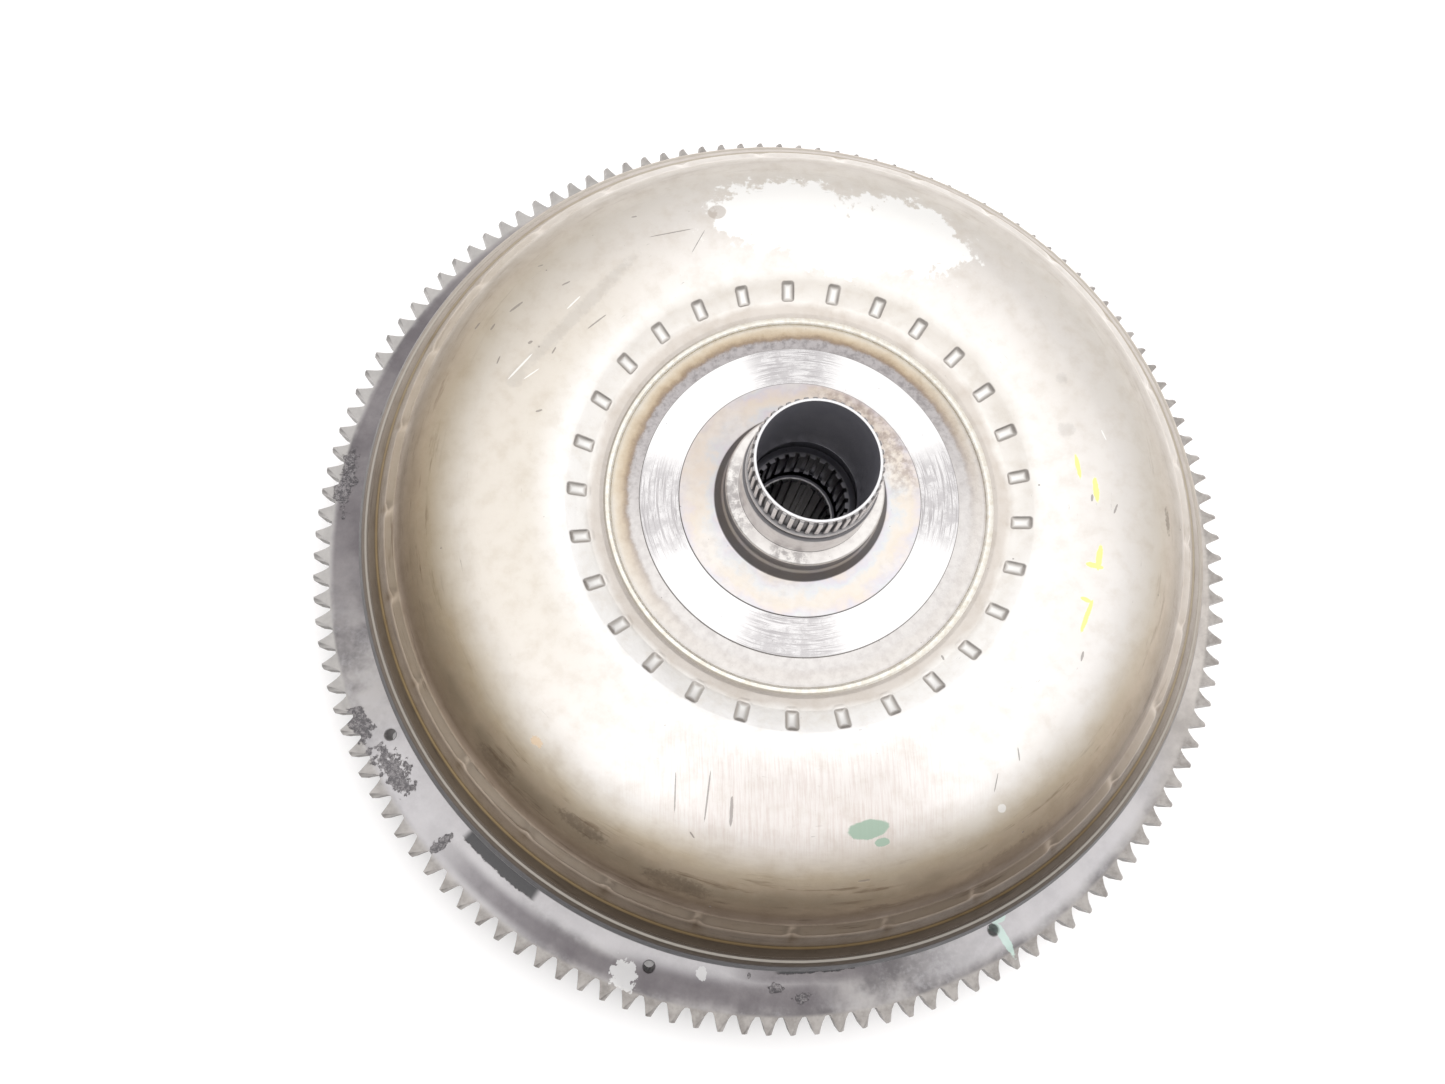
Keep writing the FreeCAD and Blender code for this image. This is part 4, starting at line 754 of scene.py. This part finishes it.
def bead_paint(name, light, dark, shaded_from=400.0):
    """Rippled weld metal, shaded on the near side beyond a radius."""
    p = Paint(name)
    mottle = p.noise(1.6, 5.0, 0.7)
    steel = p.mix(p.between(mottle, 0.35, 0.7), light, dark)
    edge = p.mul(p.between(p.radius, shaded_from - 0.15, shaded_from + 0.15), p.side(202, 85, 30))
    steel = p.mix(p.mul(edge, 0.85), steel, (0.34, 0.30, 0.25))
    relief = p.bump(mottle, 0.12)
    return p.finish(steel, p.blend(mottle, 0.28, 0.5), 0.95, relief)


def cover_paint():
    """Pressed cover: bare steel with fine grain, drawing marks up the skirt and brown heat near the rim."""
    p = Paint("cover_steel")
    cloud = p.noise(30.0, 5.0, 0.6)
    mottle = p.noise(4.0, 6.0, 0.65)
    grain = p.noise(0.6, 3.0, 0.6)
    upright = p.noise(1.0, 3.0, 0.6, p.combine(p.mul(p.east, 160.0), p.mul(p.north, 160.0), p.mul(p.z, 0.06)))
    steel = p.mix(p.between(cloud, 0.35, 0.68), (0.60, 0.565, 0.52), (0.45, 0.415, 0.37))
    steel = p.mix(p.mul(p.between(mottle, 0.5, 0.75), 0.4), steel, (0.30, 0.26, 0.22))
    heat = p.mul(p.between(p.z, 44.0, 50.0), p.between(p.radius, 118.0, 119.5))
    steel = p.mix(p.mul(heat, 0.6), steel, (0.28, 0.20, 0.14))
    foot = p.mul(p.between(p.z, 30.0, 26.3), p.between(p.radius, 118.0, 119.5))
    steel = p.mix(p.mul(foot, 0.75), steel, (0.06, 0.06, 0.065))
    specks = p.mul(p.dots(6.0, 0.35), p.between(p.noise(9.0, 2.0), 0.48, 0.58))
    steel = p.mix(p.mul(specks, 0.8), steel, (0.12, 0.08, 0.05))
    relief = p.bump(grain, 0.012)
    relief = p.bump(upright, 0.02, relief)
    relief = p.bump(cloud, 0.4, relief)
    return p.finish(steel, p.blend(mottle, 0.30, 0.52), 0.93, relief)


def machined_paint(name, light, dark, rough=(0.20, 0.38), metallic=1.0, rings=0.025):
    """Turned or ground steel with fine rings and slight staining."""
    p = Paint(name)
    mottle = p.noise(3.0, 5.0, 0.65)
    rings_mark = p.noise(1.0, 2.0, 0.6, p.around(2.0, 4.0))
    grain = p.noise(0.4, 3.0, 0.6)
    steel = p.mix(p.between(mottle, 0.35, 0.7), light, dark)
    relief = p.bump(rings_mark, rings)
    relief = p.bump(grain, 0.006, relief)
    return p.finish(steel, p.blend(mottle, *rough), metallic, relief)


def forged_paint():
    """Dark oily hub forgings, and the turned mouths that show down the bore: turned steel with a painted
    highlight.
    """
    p = Paint("forged_steel")
    mottle = p.noise(7.0, 4.0, 0.6)
    grain = p.noise(0.8, 3.0, 0.6)
    steel = p.mix(mottle, (0.13, 0.13, 0.155), (0.22, 0.215, 0.235))
    # Lighter rings at the turned mouths down the bore: turned steel with a painted highlight.
    race_mouth_highlight = p.mul(p.ring(12.2, 13.6, 0.15), p.between(p.z, RACE_TOP - 0.9, RACE_TOP - 0.5))
    hub_mouth_highlight = p.mul(p.ring(9.8, 11.4, 0.15), p.between(p.z, SLEEVE_TOP - 0.9, SLEEVE_TOP - 0.5))
    steel = p.mix(p.mul(race_mouth_highlight, 0.35), steel, (0.55, 0.54, 0.55))
    steel = p.mix(p.mul(hub_mouth_highlight, p.between(p.z, RACE_TOP, RACE_TOP - 2.0)), steel, (0.95, 0.93, 0.92))
    return p.finish(steel, p.blend(grain, 0.24, 0.36), 1.0, p.bump(grain, 0.004))


def pressed_paint(name, light, dark, rough=(0.30, 0.5), metallic=0.95, grain_depth=0.012):
    """Pressed sheet or cast metal: cloudy, with a fine grain."""
    p = Paint(name)
    cloud = p.noise(9.0, 5.0, 0.6)
    grain = p.noise(0.5, 4.0, 0.65)
    steel = p.mix(p.between(cloud, 0.35, 0.68), light, dark)
    specks = p.mul(p.dots(4.0, 0.2), p.between(p.noise(6.0, 2.0), 0.5, 0.6))
    steel = p.mix(p.mul(specks, 0.6), steel, tuple(c * 0.3 for c in dark))
    relief = p.bump(grain, grain_depth)
    relief = p.bump(cloud, 0.05, relief)
    return p.finish(steel, p.blend(grain, *rough), metallic, relief)


def lining_paint():
    """Oil-soaked paper friction lining with short fibres."""
    p = Paint("friction_paper")
    fibres = p.noise(1.0, 5.0, 0.75, p.combine(p.mul(p.x, 2.2), p.mul(p.y, 0.7), p.mul(p.z, 2.0)))
    weave = p.noise(0.3, 3.0, 0.7)
    colour = p.mix(p.between(fibres, 0.35, 0.65), (0.115, 0.075, 0.045), (0.055, 0.035, 0.022))
    relief = p.bump(fibres, 0.05)
    relief = p.bump(weave, 0.03, relief)
    return p.finish(colour, p.blend(weave, 0.65, 0.9), 0.0, relief)


def plastic_paint(name, light, dark):
    """Filled PTFE, slightly waxy."""
    p = Paint(name)
    mottle = p.noise(1.2, 4.0, 0.6)
    colour = p.mix(mottle, light, dark)
    return p.finish(colour, p.blend(mottle, 0.4, 0.6), 0.0, p.bump(mottle, 0.02))


def floor_paint():
    """Near-white board with faint specks of grit."""
    p = Paint("floor_board")
    cloud = p.noise(160.0, 4.0, 0.6)
    board = p.mix(cloud, (0.95, 0.945, 0.945), (0.92, 0.91, 0.91))
    grit = p.mul(p.dots(9.0, 0.3), p.between(p.noise(60.0, 3.0), 0.50, 0.62))
    board = p.mix(p.mul(grit, 0.35), board, (0.45, 0.42, 0.42))
    return p.finish(board, 0.7, 0.0, p.bump(p.noise(1.5, 3.0), 0.02))


SHELL = shell_paint()
HUB = hub_paint()
GEAR = gear_paint()
RIM = rim_paint()
COVER = cover_paint()
HUB_BEAD = bead_paint("hub_weld_bead", (0.97, 0.95, 0.89), (0.84, 0.79, 0.69), 51.4)
DARK_BEAD = bead_paint("weld_bead", (0.30, 0.28, 0.27), (0.14, 0.12, 0.11))
NUT = machined_paint("nut_steel", (0.62, 0.60, 0.57), (0.45, 0.42, 0.38))
FORGED = forged_paint()
PLATE = pressed_paint("plate_steel", (0.52, 0.50, 0.47), (0.36, 0.34, 0.31))
BLADE = pressed_paint("blade_steel", (0.56, 0.54, 0.52), (0.40, 0.38, 0.36))
TURBINE = pressed_paint("turbine_steel", (0.58, 0.55, 0.51), (0.42, 0.39, 0.35))
RIVET = machined_paint("rivet_steel", (0.60, 0.58, 0.55), (0.42, 0.40, 0.38))
SPRING = pressed_paint("spring_steel", (0.26, 0.27, 0.31), (0.15, 0.15, 0.18), (0.22, 0.38), 1.0, 0.004)
BEARING = machined_paint("bearing_steel", (0.78, 0.78, 0.80), (0.66, 0.66, 0.69), (0.08, 0.20), 1.0, 0.008)
CAGE = pressed_paint("cage_steel", (0.56, 0.55, 0.53), (0.42, 0.41, 0.39))
ALUMINIUM = pressed_paint("stator_aluminium", (0.78, 0.78, 0.79), (0.64, 0.64, 0.66), (0.36, 0.55), 1.0, 0.03)
LINING = lining_paint()
SEAL = plastic_paint("seal_plastic", (0.10, 0.10, 0.11), (0.05, 0.05, 0.055))

SLOT_PAINT = {
    "cover_steel": COVER, "nut_steel": NUT, "weld_bead": DARK_BEAD, "gear_phosphate": GEAR,
    "shell_steel": SHELL, "hub_steel": HUB, "blade_steel": BLADE, "turbine_steel": TURBINE,
    "forged_steel": FORGED, "plate_steel": PLATE, "rivet_steel": RIVET, "spring_steel": SPRING,
    "bearing_steel": BEARING, "cage_steel": CAGE, "stator_aluminium": ALUMINIUM,
    "friction_paper": LINING, "seal_plastic": SEAL,
}


def paint_frame():
    """Gives every CAD node the material of its slot in the record."""
    for subpart in frame["record"]["subparts"]:
        node = NODES[subpart["node"]]
        node.data.materials.clear()
        node.data.materials.append(SLOT_PAINT[subpart["material_slot"]])


# ---- impeller shell ----

DOME_CREST = (80.0, DOME_TOP)
DOME_FOOT = (106.4, 66.9)
SHOULDER = (61.5, 76.5)


def dome_radius():
    """Radius of the dome's outer arc, level at its crest."""
    out = DOME_FOOT[0] - DOME_CREST[0]
    fall = DOME_CREST[1] - DOME_FOOT[1]
    return (out * out + fall * fall) / (2 * fall)


def shoulder_radius():
    inward = DOME_CREST[0] - SHOULDER[0]
    dip = DOME_CREST[1] - SHOULDER[1]
    return (inward * inward + dip * dip) / (2 * dip)


def shell_outline():
    lip = rounded([
        (SHELL_RIM, SHELL_EDGE), (SHELL_RIM, 56.9, 0.5), (113.85, 59.0, 0.25), (113.1, 59.2, 0.3),
        (109.8, 64.2, 1.2), (107.4, 65.5, 1.4), DOME_FOOT,
    ])
    dome = bow(DOME_FOOT, DOME_CREST, dome_radius(), 22) + bow(DOME_CREST, SHOULDER, shoulder_radius(), 12)
    slope = rounded([
        dome[-1], (61.2, 76.35, 0.25), (56.0, 73.9, 3.0), (52.9, 72.8, 1.6), (51.5, 72.0, 0.7),
        (51.1, 70.6, 0.4), (50.9, 69.5),
    ])
    inside = rounded([
        (50.9, 69.5), (56.2, 70.5, 3.0), (62.0, 73.4, 2.0), (71.0, 75.7, 30.0), (80.0, DOME_TOP - 3, 30.0),
        (97.0, 70.4, 24.0), (104.8, 61.5, 8.0), (SHELL_RIM - 3, 54.0, 6.0), (SHELL_RIM - 3, SHELL_EDGE),
    ], 7)
    return subdivided(lip + dome[:-1] + subdivided(slope, 0.42), 2.0) + inside[1:]


def pocket_columns():
    """Angles of one blade sector, close together across the pocket and the dent."""
    half = math.degrees(POCKET_HALF[1] / POCKET_CENTRE)
    right_half = np.array([0.3, 0.6, 0.84, 0.95, 1.06, 1.18, 1.35])
    near = half * np.concatenate([-right_half, [0.0], right_half])
    far = np.array([-5.6, -4.6, -3.6, -2.85, 2.75, 3.2, 3.8, 4.7, 5.6])
    return np.sort(np.concatenate([near, far]))


def impeller_shell():
    """The pressed shell, with a shallow pocket for each blade's inner tab and a dent for its outer one."""
    sector = pocket_columns()
    angles = np.concatenate([sector + POCKET_PHASE + 360.0 / BLADES * index for index in range(BLADES)])
    nudge = RNG.normal(0, 0.06, (BLADES, 2))
    depths = 0.62 + RNG.normal(0, 0.05, BLADES)
    dents = 0.75 + RNG.normal(0, 0.10, BLADES)

    def shape(radius, height, angle):
        turn = np.degrees(angle) - POCKET_PHASE + 180.0 / BLADES
        index = np.floor(turn / (360.0 / BLADES)).astype(int) % BLADES
        middle = (turn % (360.0 / BLADES)) - 180.0 / BLADES
        outside = height > 60.0
        aside = np.radians(middle) * radius - nudge[index, 0]
        out = (radius - POCKET_CENTRE) * 1.08 - nudge[index, 1]
        corner = 0.75
        qx = np.abs(out) - (POCKET_HALF[0] - corner)
        qy = np.abs(aside) - (POCKET_HALF[1] - corner)
        edge = np.hypot(np.maximum(qx, 0), np.maximum(qy, 0)) + np.minimum(np.maximum(qx, qy), 0) - corner
        bowl = 1 - smooth_step(-0.45, 0.05, edge)
        dish = 0.75 + 0.25 * np.clip(1 - (out / 2.2) ** 2, 0, 1) * np.clip(1 - (aside / 1.4) ** 2, 0, 1)
        lip_line = np.exp(-((out + 3.25) / 0.20) ** 2) * (1 - smooth_step(1.0, 1.4, np.abs(aside)))
        swell = np.exp(-((edge - 0.25) / 0.28) ** 2) * 0.05
        top = outside & (radius > 52.0) & (radius < 64.0) & (height > 72.5)
        height = height + np.where(top, swell + 0.12 * lip_line - bowl * dish * depths[index], 0.0)
        off = (np.radians(middle - DENT_SHIFT) * radius) / 1.3
        up = (radius - 109.6) / 1.5
        dent = np.exp(-(off ** 2 + up ** 2)) * dents[index]
        rim = outside & (radius > 105.0)
        radius = radius - np.where(rim, dent * 0.7, 0.0)
        height = height - np.where(rim, dent * 0.7, 0.0)
        return radius, height

    vertices, faces = spun(shell_outline(), angles, shape)
    add_piece("shell_pressing", vertices, faces, "housing", "shell_steel", SHELL, ["impeller_shell"], 40)


# ---- hub ----


def impeller_hub():
    """Weld flange, boss, journal and the splined drive tube, turned in one piece."""
    outline = rounded([
        (16.0, HUB_UNDER), (38.0, HUB_UNDER, 1.0), (40.0, 69.5, 1.0), (PLATE_RIM - 0.2, 69.5),
        (PLATE_RIM - 0.2, 71.9, 0.5), (49.3, 72.15, 0.6), (42.62, 72.1, 0.05), (42.5, 72.62, 0.1),
        (32.25, 72.6, 0.1), (32.1, 73.0, 0.1), (23.0, 73.0, 0.5), (22.0, 74.4, 0.9), (20.8, 76.2, 1.2),
        (20.5, 77.6, 0.5), (20.5, 82.0, 0.6), (17.2, 82.0, 0.15), (17.2, 92.1, 0.5), (15.5, 92.2, 0.25),
        (15.5, 93.3, 0.25), (16.5, 93.4, 0.2), (16.5, 94.3, 0.2), (15.3, 94.4, 0.2), (15.3, 95.3, 0.1),
    ], 4)
    teeth_from = len(outline)
    outline += [np.array(point) for point in (
        (15.31, 95.4), (16.0, 95.45), (16.1, 95.7), (16.1, 98.0), (16.1, 100.5), (16.1, 102.5), (15.9, 102.9),
        (15.35, 103.05),
    )]
    teeth_to = len(outline)
    outline += rounded([
        (15.3, 103.1), (15.3, HUB_TOP, 0.18), (14.6, HUB_TOP, 0.22), (14.6, 96.0), (14.6, 82.0),
        (14.6, 75.0, 0.2), (16.0, 74.7, 0.2), (16.0, HUB_UNDER + 0.01),
    ], 4)
    pitch = 360.0 / HUB_SPLINES
    profile = [
        (-0.5, 0), (-0.33, 0), (-0.27, 0.45), (-0.22, 0.92), (-0.15, 1), (0, 1), (0.15, 1), (0.22, 0.92),
        (0.27, 0.45), (0.33, 0),
    ]
    angles = [pitch * (index + share) for index in range(HUB_SPLINES) for share, _ in profile]
    crest = np.array([tall for _ in range(HUB_SPLINES) for _, tall in profile])

    def shape(radius, height, angle):
        for row in range(teeth_from, teeth_to):
            radius[row] = 15.3 + (radius[row] - 15.3) * crest
        return radius, height

    vertices, faces = spun(outline, angles, shape)
    add_piece("hub_forging", vertices, faces, "housing", "hub_steel", HUB, ["impeller_hub"], 35)


def bead_ring(name, outline, count, ripple, material, replaces):
    """A weld bead that runs round the axis, with a slightly uneven crest."""
    wave = RNG.uniform(0, 2 * math.pi, 6)
    turns = np.array([7, 13, 29, 61, 113, 181])

    def shape(radius, height, angle):
        uneven = sum(np.sin(angle * n + w) for n, w in zip(turns, wave)) / len(turns)
        crest = height > np.mean(height)
        return radius + crest * uneven * ripple * 0.5, height + crest * uneven * ripple

    vertices, faces = spun(outline, even(count), shape)
    add_piece(name, vertices, faces, "housing", "weld_bead", material, replaces, 60)


def welds():
    bead_ring("hub_bead", rounded([
        (50.05, 69.6), (50.05, 72.2, 0.3), (50.6, 72.62, 0.4), (51.3, 72.45, 0.4), (52.0, 72.2), (51.7, 71.4),
        (51.15, 69.6),
    ], 5), 580, 0.04, HUB_BEAD, ["hub_weld"])
    bead_ring("rim_bead", rounded([
        (116.05, 50.85), (SKIRT, 50.85, 0.1), (119.9, 52.2, 0.8), (118.6, 54.6, 1.6), (117.45, 55.75, 0.35),
        (116.7, 56.0, 0.3), (116.05, 56.9, 0.2), (116.0, 55.0),
    ], 5), 720, 0.06, RIM, ["rim_weld"])


# ---- ring gear ----


def tooth_outline(inset, lean):
    """(radius, angle share) points of one tooth pitch. Inset pulls the outline in for a chamfer, and lean
    pulls in only the leading flank near the tip."""
    half_tip = 0.115 - inset * 0.045
    half_foot = 0.405 - inset * 0.02
    tip = GEAR_TIP - inset
    points = [(-0.5, GEAR_ROOT)]
    for share in (0.0, 0.3, 0.6, 0.85, 1.0):
        width = half_foot + (half_tip - half_foot) * (share ** 0.8)
        points.append((-width, GEAR_ROOT + 0.15 + (tip - GEAR_ROOT - 0.15) * share))
    for share in (1.0, 0.85, 0.6, 0.3, 0.0):
        width = half_foot + (half_tip - half_foot) * (share ** 0.8)
        pulled = width - lean * 0.16 * share
        points.append((pulled, GEAR_ROOT + 0.15 + (tip - GEAR_ROOT - 0.15) * share))
    return points


def ring_gear():
    """Starter teeth with chamfered ends, and small holes through the web."""
    pitch = 360.0 / GEAR_TEETH
    wear = RNG.uniform(0.6, 1.2, GEAR_TEETH)
    chips = RNG.normal(0, 0.12, GEAR_TEETH)

    def loop(height, inset, lean):
        points = []
        for index in range(GEAR_TEETH):
            for share, radius in tooth_outline(inset * wear[index], lean * (1 + chips[index])):
                turn = math.radians(GEAR_PHASE + pitch * (index + share))
                points.append((radius * math.cos(turn), radius * math.sin(turn), height))
        return points

    tooth_loops = [
        loop(GEAR_BOTTOM, 0.45, 0.0), loop(GEAR_BOTTOM + 0.45, 0.0, 0.0), loop(GEAR_TOP - 1.3, 0.0, 0.0),
        loop(GEAR_TOP - 0.35, 0.0, 0.75), loop(GEAR_TOP, 0.35, 1.1),
    ]
    work = bmesh.new()
    rings = [[work.verts.new(point) for point in points] for points in tooth_loops]
    for low, high in zip(rings, rings[1:]):
        for index in range(len(low)):
            after = (index + 1) % len(low)
            work.faces.new((low[index], low[after], high[after], high[index]))
    inner = []
    for height, radius in ((GEAR_BOTTOM, SKIRT + 0.55), (GEAR_BOTTOM + 0.5, SKIRT + 0.02),
                           (GEAR_TOP - 0.5, SKIRT + 0.02), (GEAR_TOP, SKIRT + 0.55)):
        inner.append([
            work.verts.new((radius * math.cos(a), radius * math.sin(a), height))
            for a in np.radians(even(GEAR_TEETH * 3))
        ])
    for low, high in zip(inner, inner[1:]):
        for index in range(len(low)):
            after = (index + 1) % len(low)
            work.faces.new((low[index], high[index], high[after], low[after]))
    hole_ends = ([], [])
    for hole in range(GEAR_HOLES):
        centre = math.radians(GEAR_HOLE_PHASE + 45.0 * hole)
        at = (GEAR_HOLE_CIRCLE * math.cos(centre), GEAR_HOLE_CIRCLE * math.sin(centre))
        loops = []
        for height, radius in ((GEAR_BOTTOM, GEAR_HOLE_RADIUS + 0.3), (GEAR_BOTTOM + 0.3, GEAR_HOLE_RADIUS),
                               (GEAR_TOP - 0.3, GEAR_HOLE_RADIUS), (GEAR_TOP, GEAR_HOLE_RADIUS + 0.3)):
            loops.append([
                work.verts.new((at[0] + radius * math.cos(a), at[1] + radius * math.sin(a), height))
                for a in np.radians(even(24))
            ])
        for low, high in zip(loops, loops[1:]):
            for index in range(24):
                after = (index + 1) % 24
                work.faces.new((low[index], high[index], high[after], low[after]))
        hole_ends[0].append(loops[0])
        hole_ends[1].append(loops[-1])
    lower_face = (rings[0], inner[0], hole_ends[0])
    upper_face = (rings[-1], inner[-1], hole_ends[1])
    for tooth_ring, inner_ring, holes in (lower_face, upper_face):
        edges = []
        for points in [tooth_ring, inner_ring, *holes]:
            for index in range(len(points)):
                edges.append(work.edges.get((points[index], points[(index + 1) % len(points)])))
        bmesh.ops.triangle_fill(work, edges=edges, use_beauty=True, use_dissolve=False)
    vertices = np.array([vertex.co[:] for vertex in work.verts])
    work.verts.index_update()
    faces = [tuple(vertex.index for vertex in face.verts) for face in work.faces]
    work.free()
    add_piece("starter_gear", vertices, faces, "housing", "gear_phosphate", GEAR, ["ring_gear"], 25)


def sealant():
    """Dark sealant spread into the corner between the gear and the skirt, its edge and top uneven."""
    wave = RNG.uniform(0, 2 * math.pi, 5)

    def shape(radius, height, angle):
        uneven = sum(np.sin(angle * n + w) for n, w in zip((5, 11, 23, 47, 89), wave)) / 5
        outer = radius > SKIRT + 0.3
        return radius + outer * uneven * 0.35, height + (height > GEAR_TOP + 0.1) * uneven * 0.25

    outline = rounded([
        (SKIRT - 0.1, GEAR_TOP - 0.4), (SKIRT + 1.3, GEAR_TOP - 0.4), (SKIRT + 1.35, GEAR_TOP + 0.12, 0.2),
        (SKIRT + 0.6, GEAR_TOP + 0.5, 0.4), (SKIRT - 0.1, GEAR_TOP + 1.5),
    ], 4)
    vertices, faces = spun(outline, even(420), shape)
    p = Paint("black_sealant")
    mottle = p.noise(2.0, 5.0, 0.7)
    colour = p.mix(mottle, (0.045, 0.047, 0.055), (0.12, 0.12, 0.13))
    paint = p.finish(colour, p.blend(mottle, 0.3, 0.6), 0.0, p.bump(mottle, 0.1))
    add_piece("gear_sealant", vertices, faces, "housing", "weld_bead", paint, (), 50)


# ---- engine side ----


def front_cover():
    wall = 4.0
    outline = rounded([
        (12.0, COVER_FACE), (60.0, COVER_FACE), (92.0, COVER_FACE), (SKIRT, COVER_FACE, 10.0),
        (SKIRT, 30.0), (SKIRT, SKIRT_TOP, 0.3), (SKIRT - wall, SKIRT_TOP, 0.3), (SKIRT - wall, 30.0),
        (SKIRT - wall, COVER_FACE + wall, 6.0), (60.0, COVER_FACE + wall), (12.0, COVER_FACE + wall),
    ], 9)
    vertices, faces = spun(subdivided(outline, 8.0), even(360))
    add_piece("cover_pressing", vertices, faces, "housing", "cover_steel", COVER, ["front_cover"], 40)


def pilot():
    outline = rounded([
        (0.0, 1.6), (3.2, 1.6, 0.4), (4.4, 1.0, 0.3), (14.4, 1.0, 0.3), (16.0, 2.5, 0.3), (16.0, 7.0, 0.3),
        (15.5, 7.3, 0.3), (15.5, COVER_FACE + 0.02), (11.98, COVER_FACE + 0.02), (11.98, 12.0), (0.0, 12.0),
    ], 4)
    vertices, faces = spun(outline, even(128))
    add_piece("crank_pilot", vertices, faces, "housing", "cover_steel", NUT, ["pilot_boss"], 35)


def drive_nuts():
    """Round weld nuts with chamfered faces and a threaded bore."""
    bore, nut = 4.25, 11.0
    thread = []
    turns = 5
    for turn in range(turns):
        height = 6.4 - turn * 1.2
        thread += [(bore, height), (bore + 0.55, height - 0.55), (bore + 0.55, height - 0.68)]
    outline = rounded([
        (bore + 0.8, 0.0), (nut - 0.8, 0.0, 0.3), (nut, 0.8, 0.3), (nut, 7.98), (bore, 7.98),
    ], 3) + [np.array(point) for point in thread] + [np.array((bore, 0.35))]
    vertices, faces = spun(outline, even(72))
    parts = [(moved_to(vertices, 360.0 / NUT_COUNT * index, NUT_CIRCLE), faces) for index in range(NUT_COUNT)]
    add_piece("weld_nuts", *joined(parts), "housing", "nut_steel", NUT, ["drive_nuts"], 28)
    wave = RNG.uniform(0, 2 * math.pi, NUT_COUNT)
    beads = []
    for index in range(NUT_COUNT):
        def shape(radius, height, angle, start=wave[index]):
            ripple = np.sin(angle * 26 + start) + 0.6 * np.sin(angle * 41 + 2 * start)
            free = (radius > nut + 0.1) & (height < COVER_FACE - 0.1)
            return radius + free * ripple * 0.12, height

        ring = rounded([
            (nut - 0.1, 6.3), (nut + 0.5, 6.2, 0.3), (nut + 1.6, 7.1, 0.9), (nut + 2.0, 8.0),
            (nut - 0.1, 8.0),
        ], 4)
        points, loops = spun(ring, even(156), shape)
        beads.append((moved_to(points, 360.0 / NUT_COUNT * index, NUT_CIRCLE), loops))
    add_piece("nut_beads", *joined(beads), "housing", "weld_bead", DARK_BEAD, ["drive_nut_welds"], 60)


# ---- stage ----


def stage_floor():
    mesh = bpy.data.meshes.new("floor")
    half = 3.0
    corners = [(-half, -half, 0), (half, -half, 0), (half, half, 0), (-half, half, 0)]
    mesh.from_pydata(corners, [], [(0, 1, 2, 3)])
    floor = bpy.data.objects.new("floor", mesh)
    bpy.context.scene.collection.objects.link(floor)
    floor.data.materials.append(floor_paint())
    floor.location.z = CAD_BOX[0].z - 0.0002


def softbox(name, place, aim, size, power):
    light = bpy.data.lights.new(name, "AREA")
    light.shape = "DISK"
    light.size = size
    light.energy = power
    item = bpy.data.objects.new(name, light)
    item.location = place
    item.rotation_euler = (Vector(aim) - Vector(place)).to_track_quat("-Z", "Y").to_euler()
    item.visible_glossy = False
    bpy.context.scene.collection.objects.link(item)


def studio():
    """A pale room that is brighter overhead and dim low down on the near side. It is all soft, and the lamps,
    which the metal doesn't reflect, light the floor and give the faint shadows."""
    world = bpy.data.worlds.new("studio")
    bpy.context.scene.world = world
    world.use_nodes = True
    tree = world.node_tree
    background = tree.nodes["Background"]
    room = tree.nodes.new("ShaderNodeTexCoord")
    split = tree.nodes.new("ShaderNodeSeparateXYZ")
    tree.links.new(room.outputs["Generated"], split.inputs[0])

    def math_node(operation, first, second):
        node = tree.nodes.new("ShaderNodeMath")
        node.operation = operation
        for value, socket in zip((first, second), node.inputs):
            if isinstance(value, float):
                socket.default_value = value
            else:
                tree.links.new(value, socket)
        return node.outputs[0]

    def step_node(value, low, high, start, end):
        node = tree.nodes.new("ShaderNodeMapRange")
        node.interpolation_type = "SMOOTHSTEP"
        tree.links.new(value, node.inputs["Value"])
        for socket, number in zip(("From Min", "From Max", "To Min", "To Max"), (low, high, start, end)):
            node.inputs[socket].default_value = number
        return node.outputs["Result"]

    rise = split.outputs[2]
    turn = math.radians(248)
    toward = math_node("ADD", math_node("MULTIPLY", split.outputs[0], math.cos(turn)),
                       math_node("MULTIPLY", split.outputs[1], math.sin(turn)))
    near = step_node(toward, -0.25, 0.55, 0.0, 1.0)
    sky = step_node(rise, 0.45, 1.0, 0.92, 1.30)
    low_side = step_node(rise, 0.10, 0.80, 0.20, 1.0)
    shade = math_node("ADD", math_node("MULTIPLY", near, low_side), math_node("SUBTRACT", 1.0, near))
    tree.links.new(math_node("MULTIPLY", sky, shade), background.inputs["Strength"])
    background.inputs["Color"].default_value = (1.0, 0.99, 0.985, 1)
    softbox("overhead", (0.05, 0.08, 1.25), (0, 0, 0.05), 1.0, 7.0)
    softbox("window", (0.55, 0.65, 0.9), (0, 0, 0.05), 0.5, 2.0)
    bpy.context.scene.view_settings.view_transform = "Standard"


def camera():
    """Looks down on the hub from the near left."""
    right = Vector((0.9980, -0.0165, 0.0611))
    up = Vector((0.0012, 0.9702, 0.2424))
    back = right.cross(up)
    lens = bpy.data.cameras.new("camera")
    lens.sensor_width = 36.0
    lens.lens = 24.85
    lens.clip_start = 0.01
    lens.clip_end = 20.0
    item = bpy.data.objects.new("camera", lens)
    turn = Matrix((right, up, back)).transposed().to_4x4()
    item.matrix_world = Matrix.Translation((-0.0373, -0.0749, 0.3236)) @ turn
    bpy.context.scene.collection.objects.link(item)
    bpy.context.scene.camera = item


paint_frame()
impeller_shell()
impeller_hub()
welds()
ring_gear()
sealant()
front_cover()
pilot()
drive_nuts()
stage_floor()
studio()
camera()
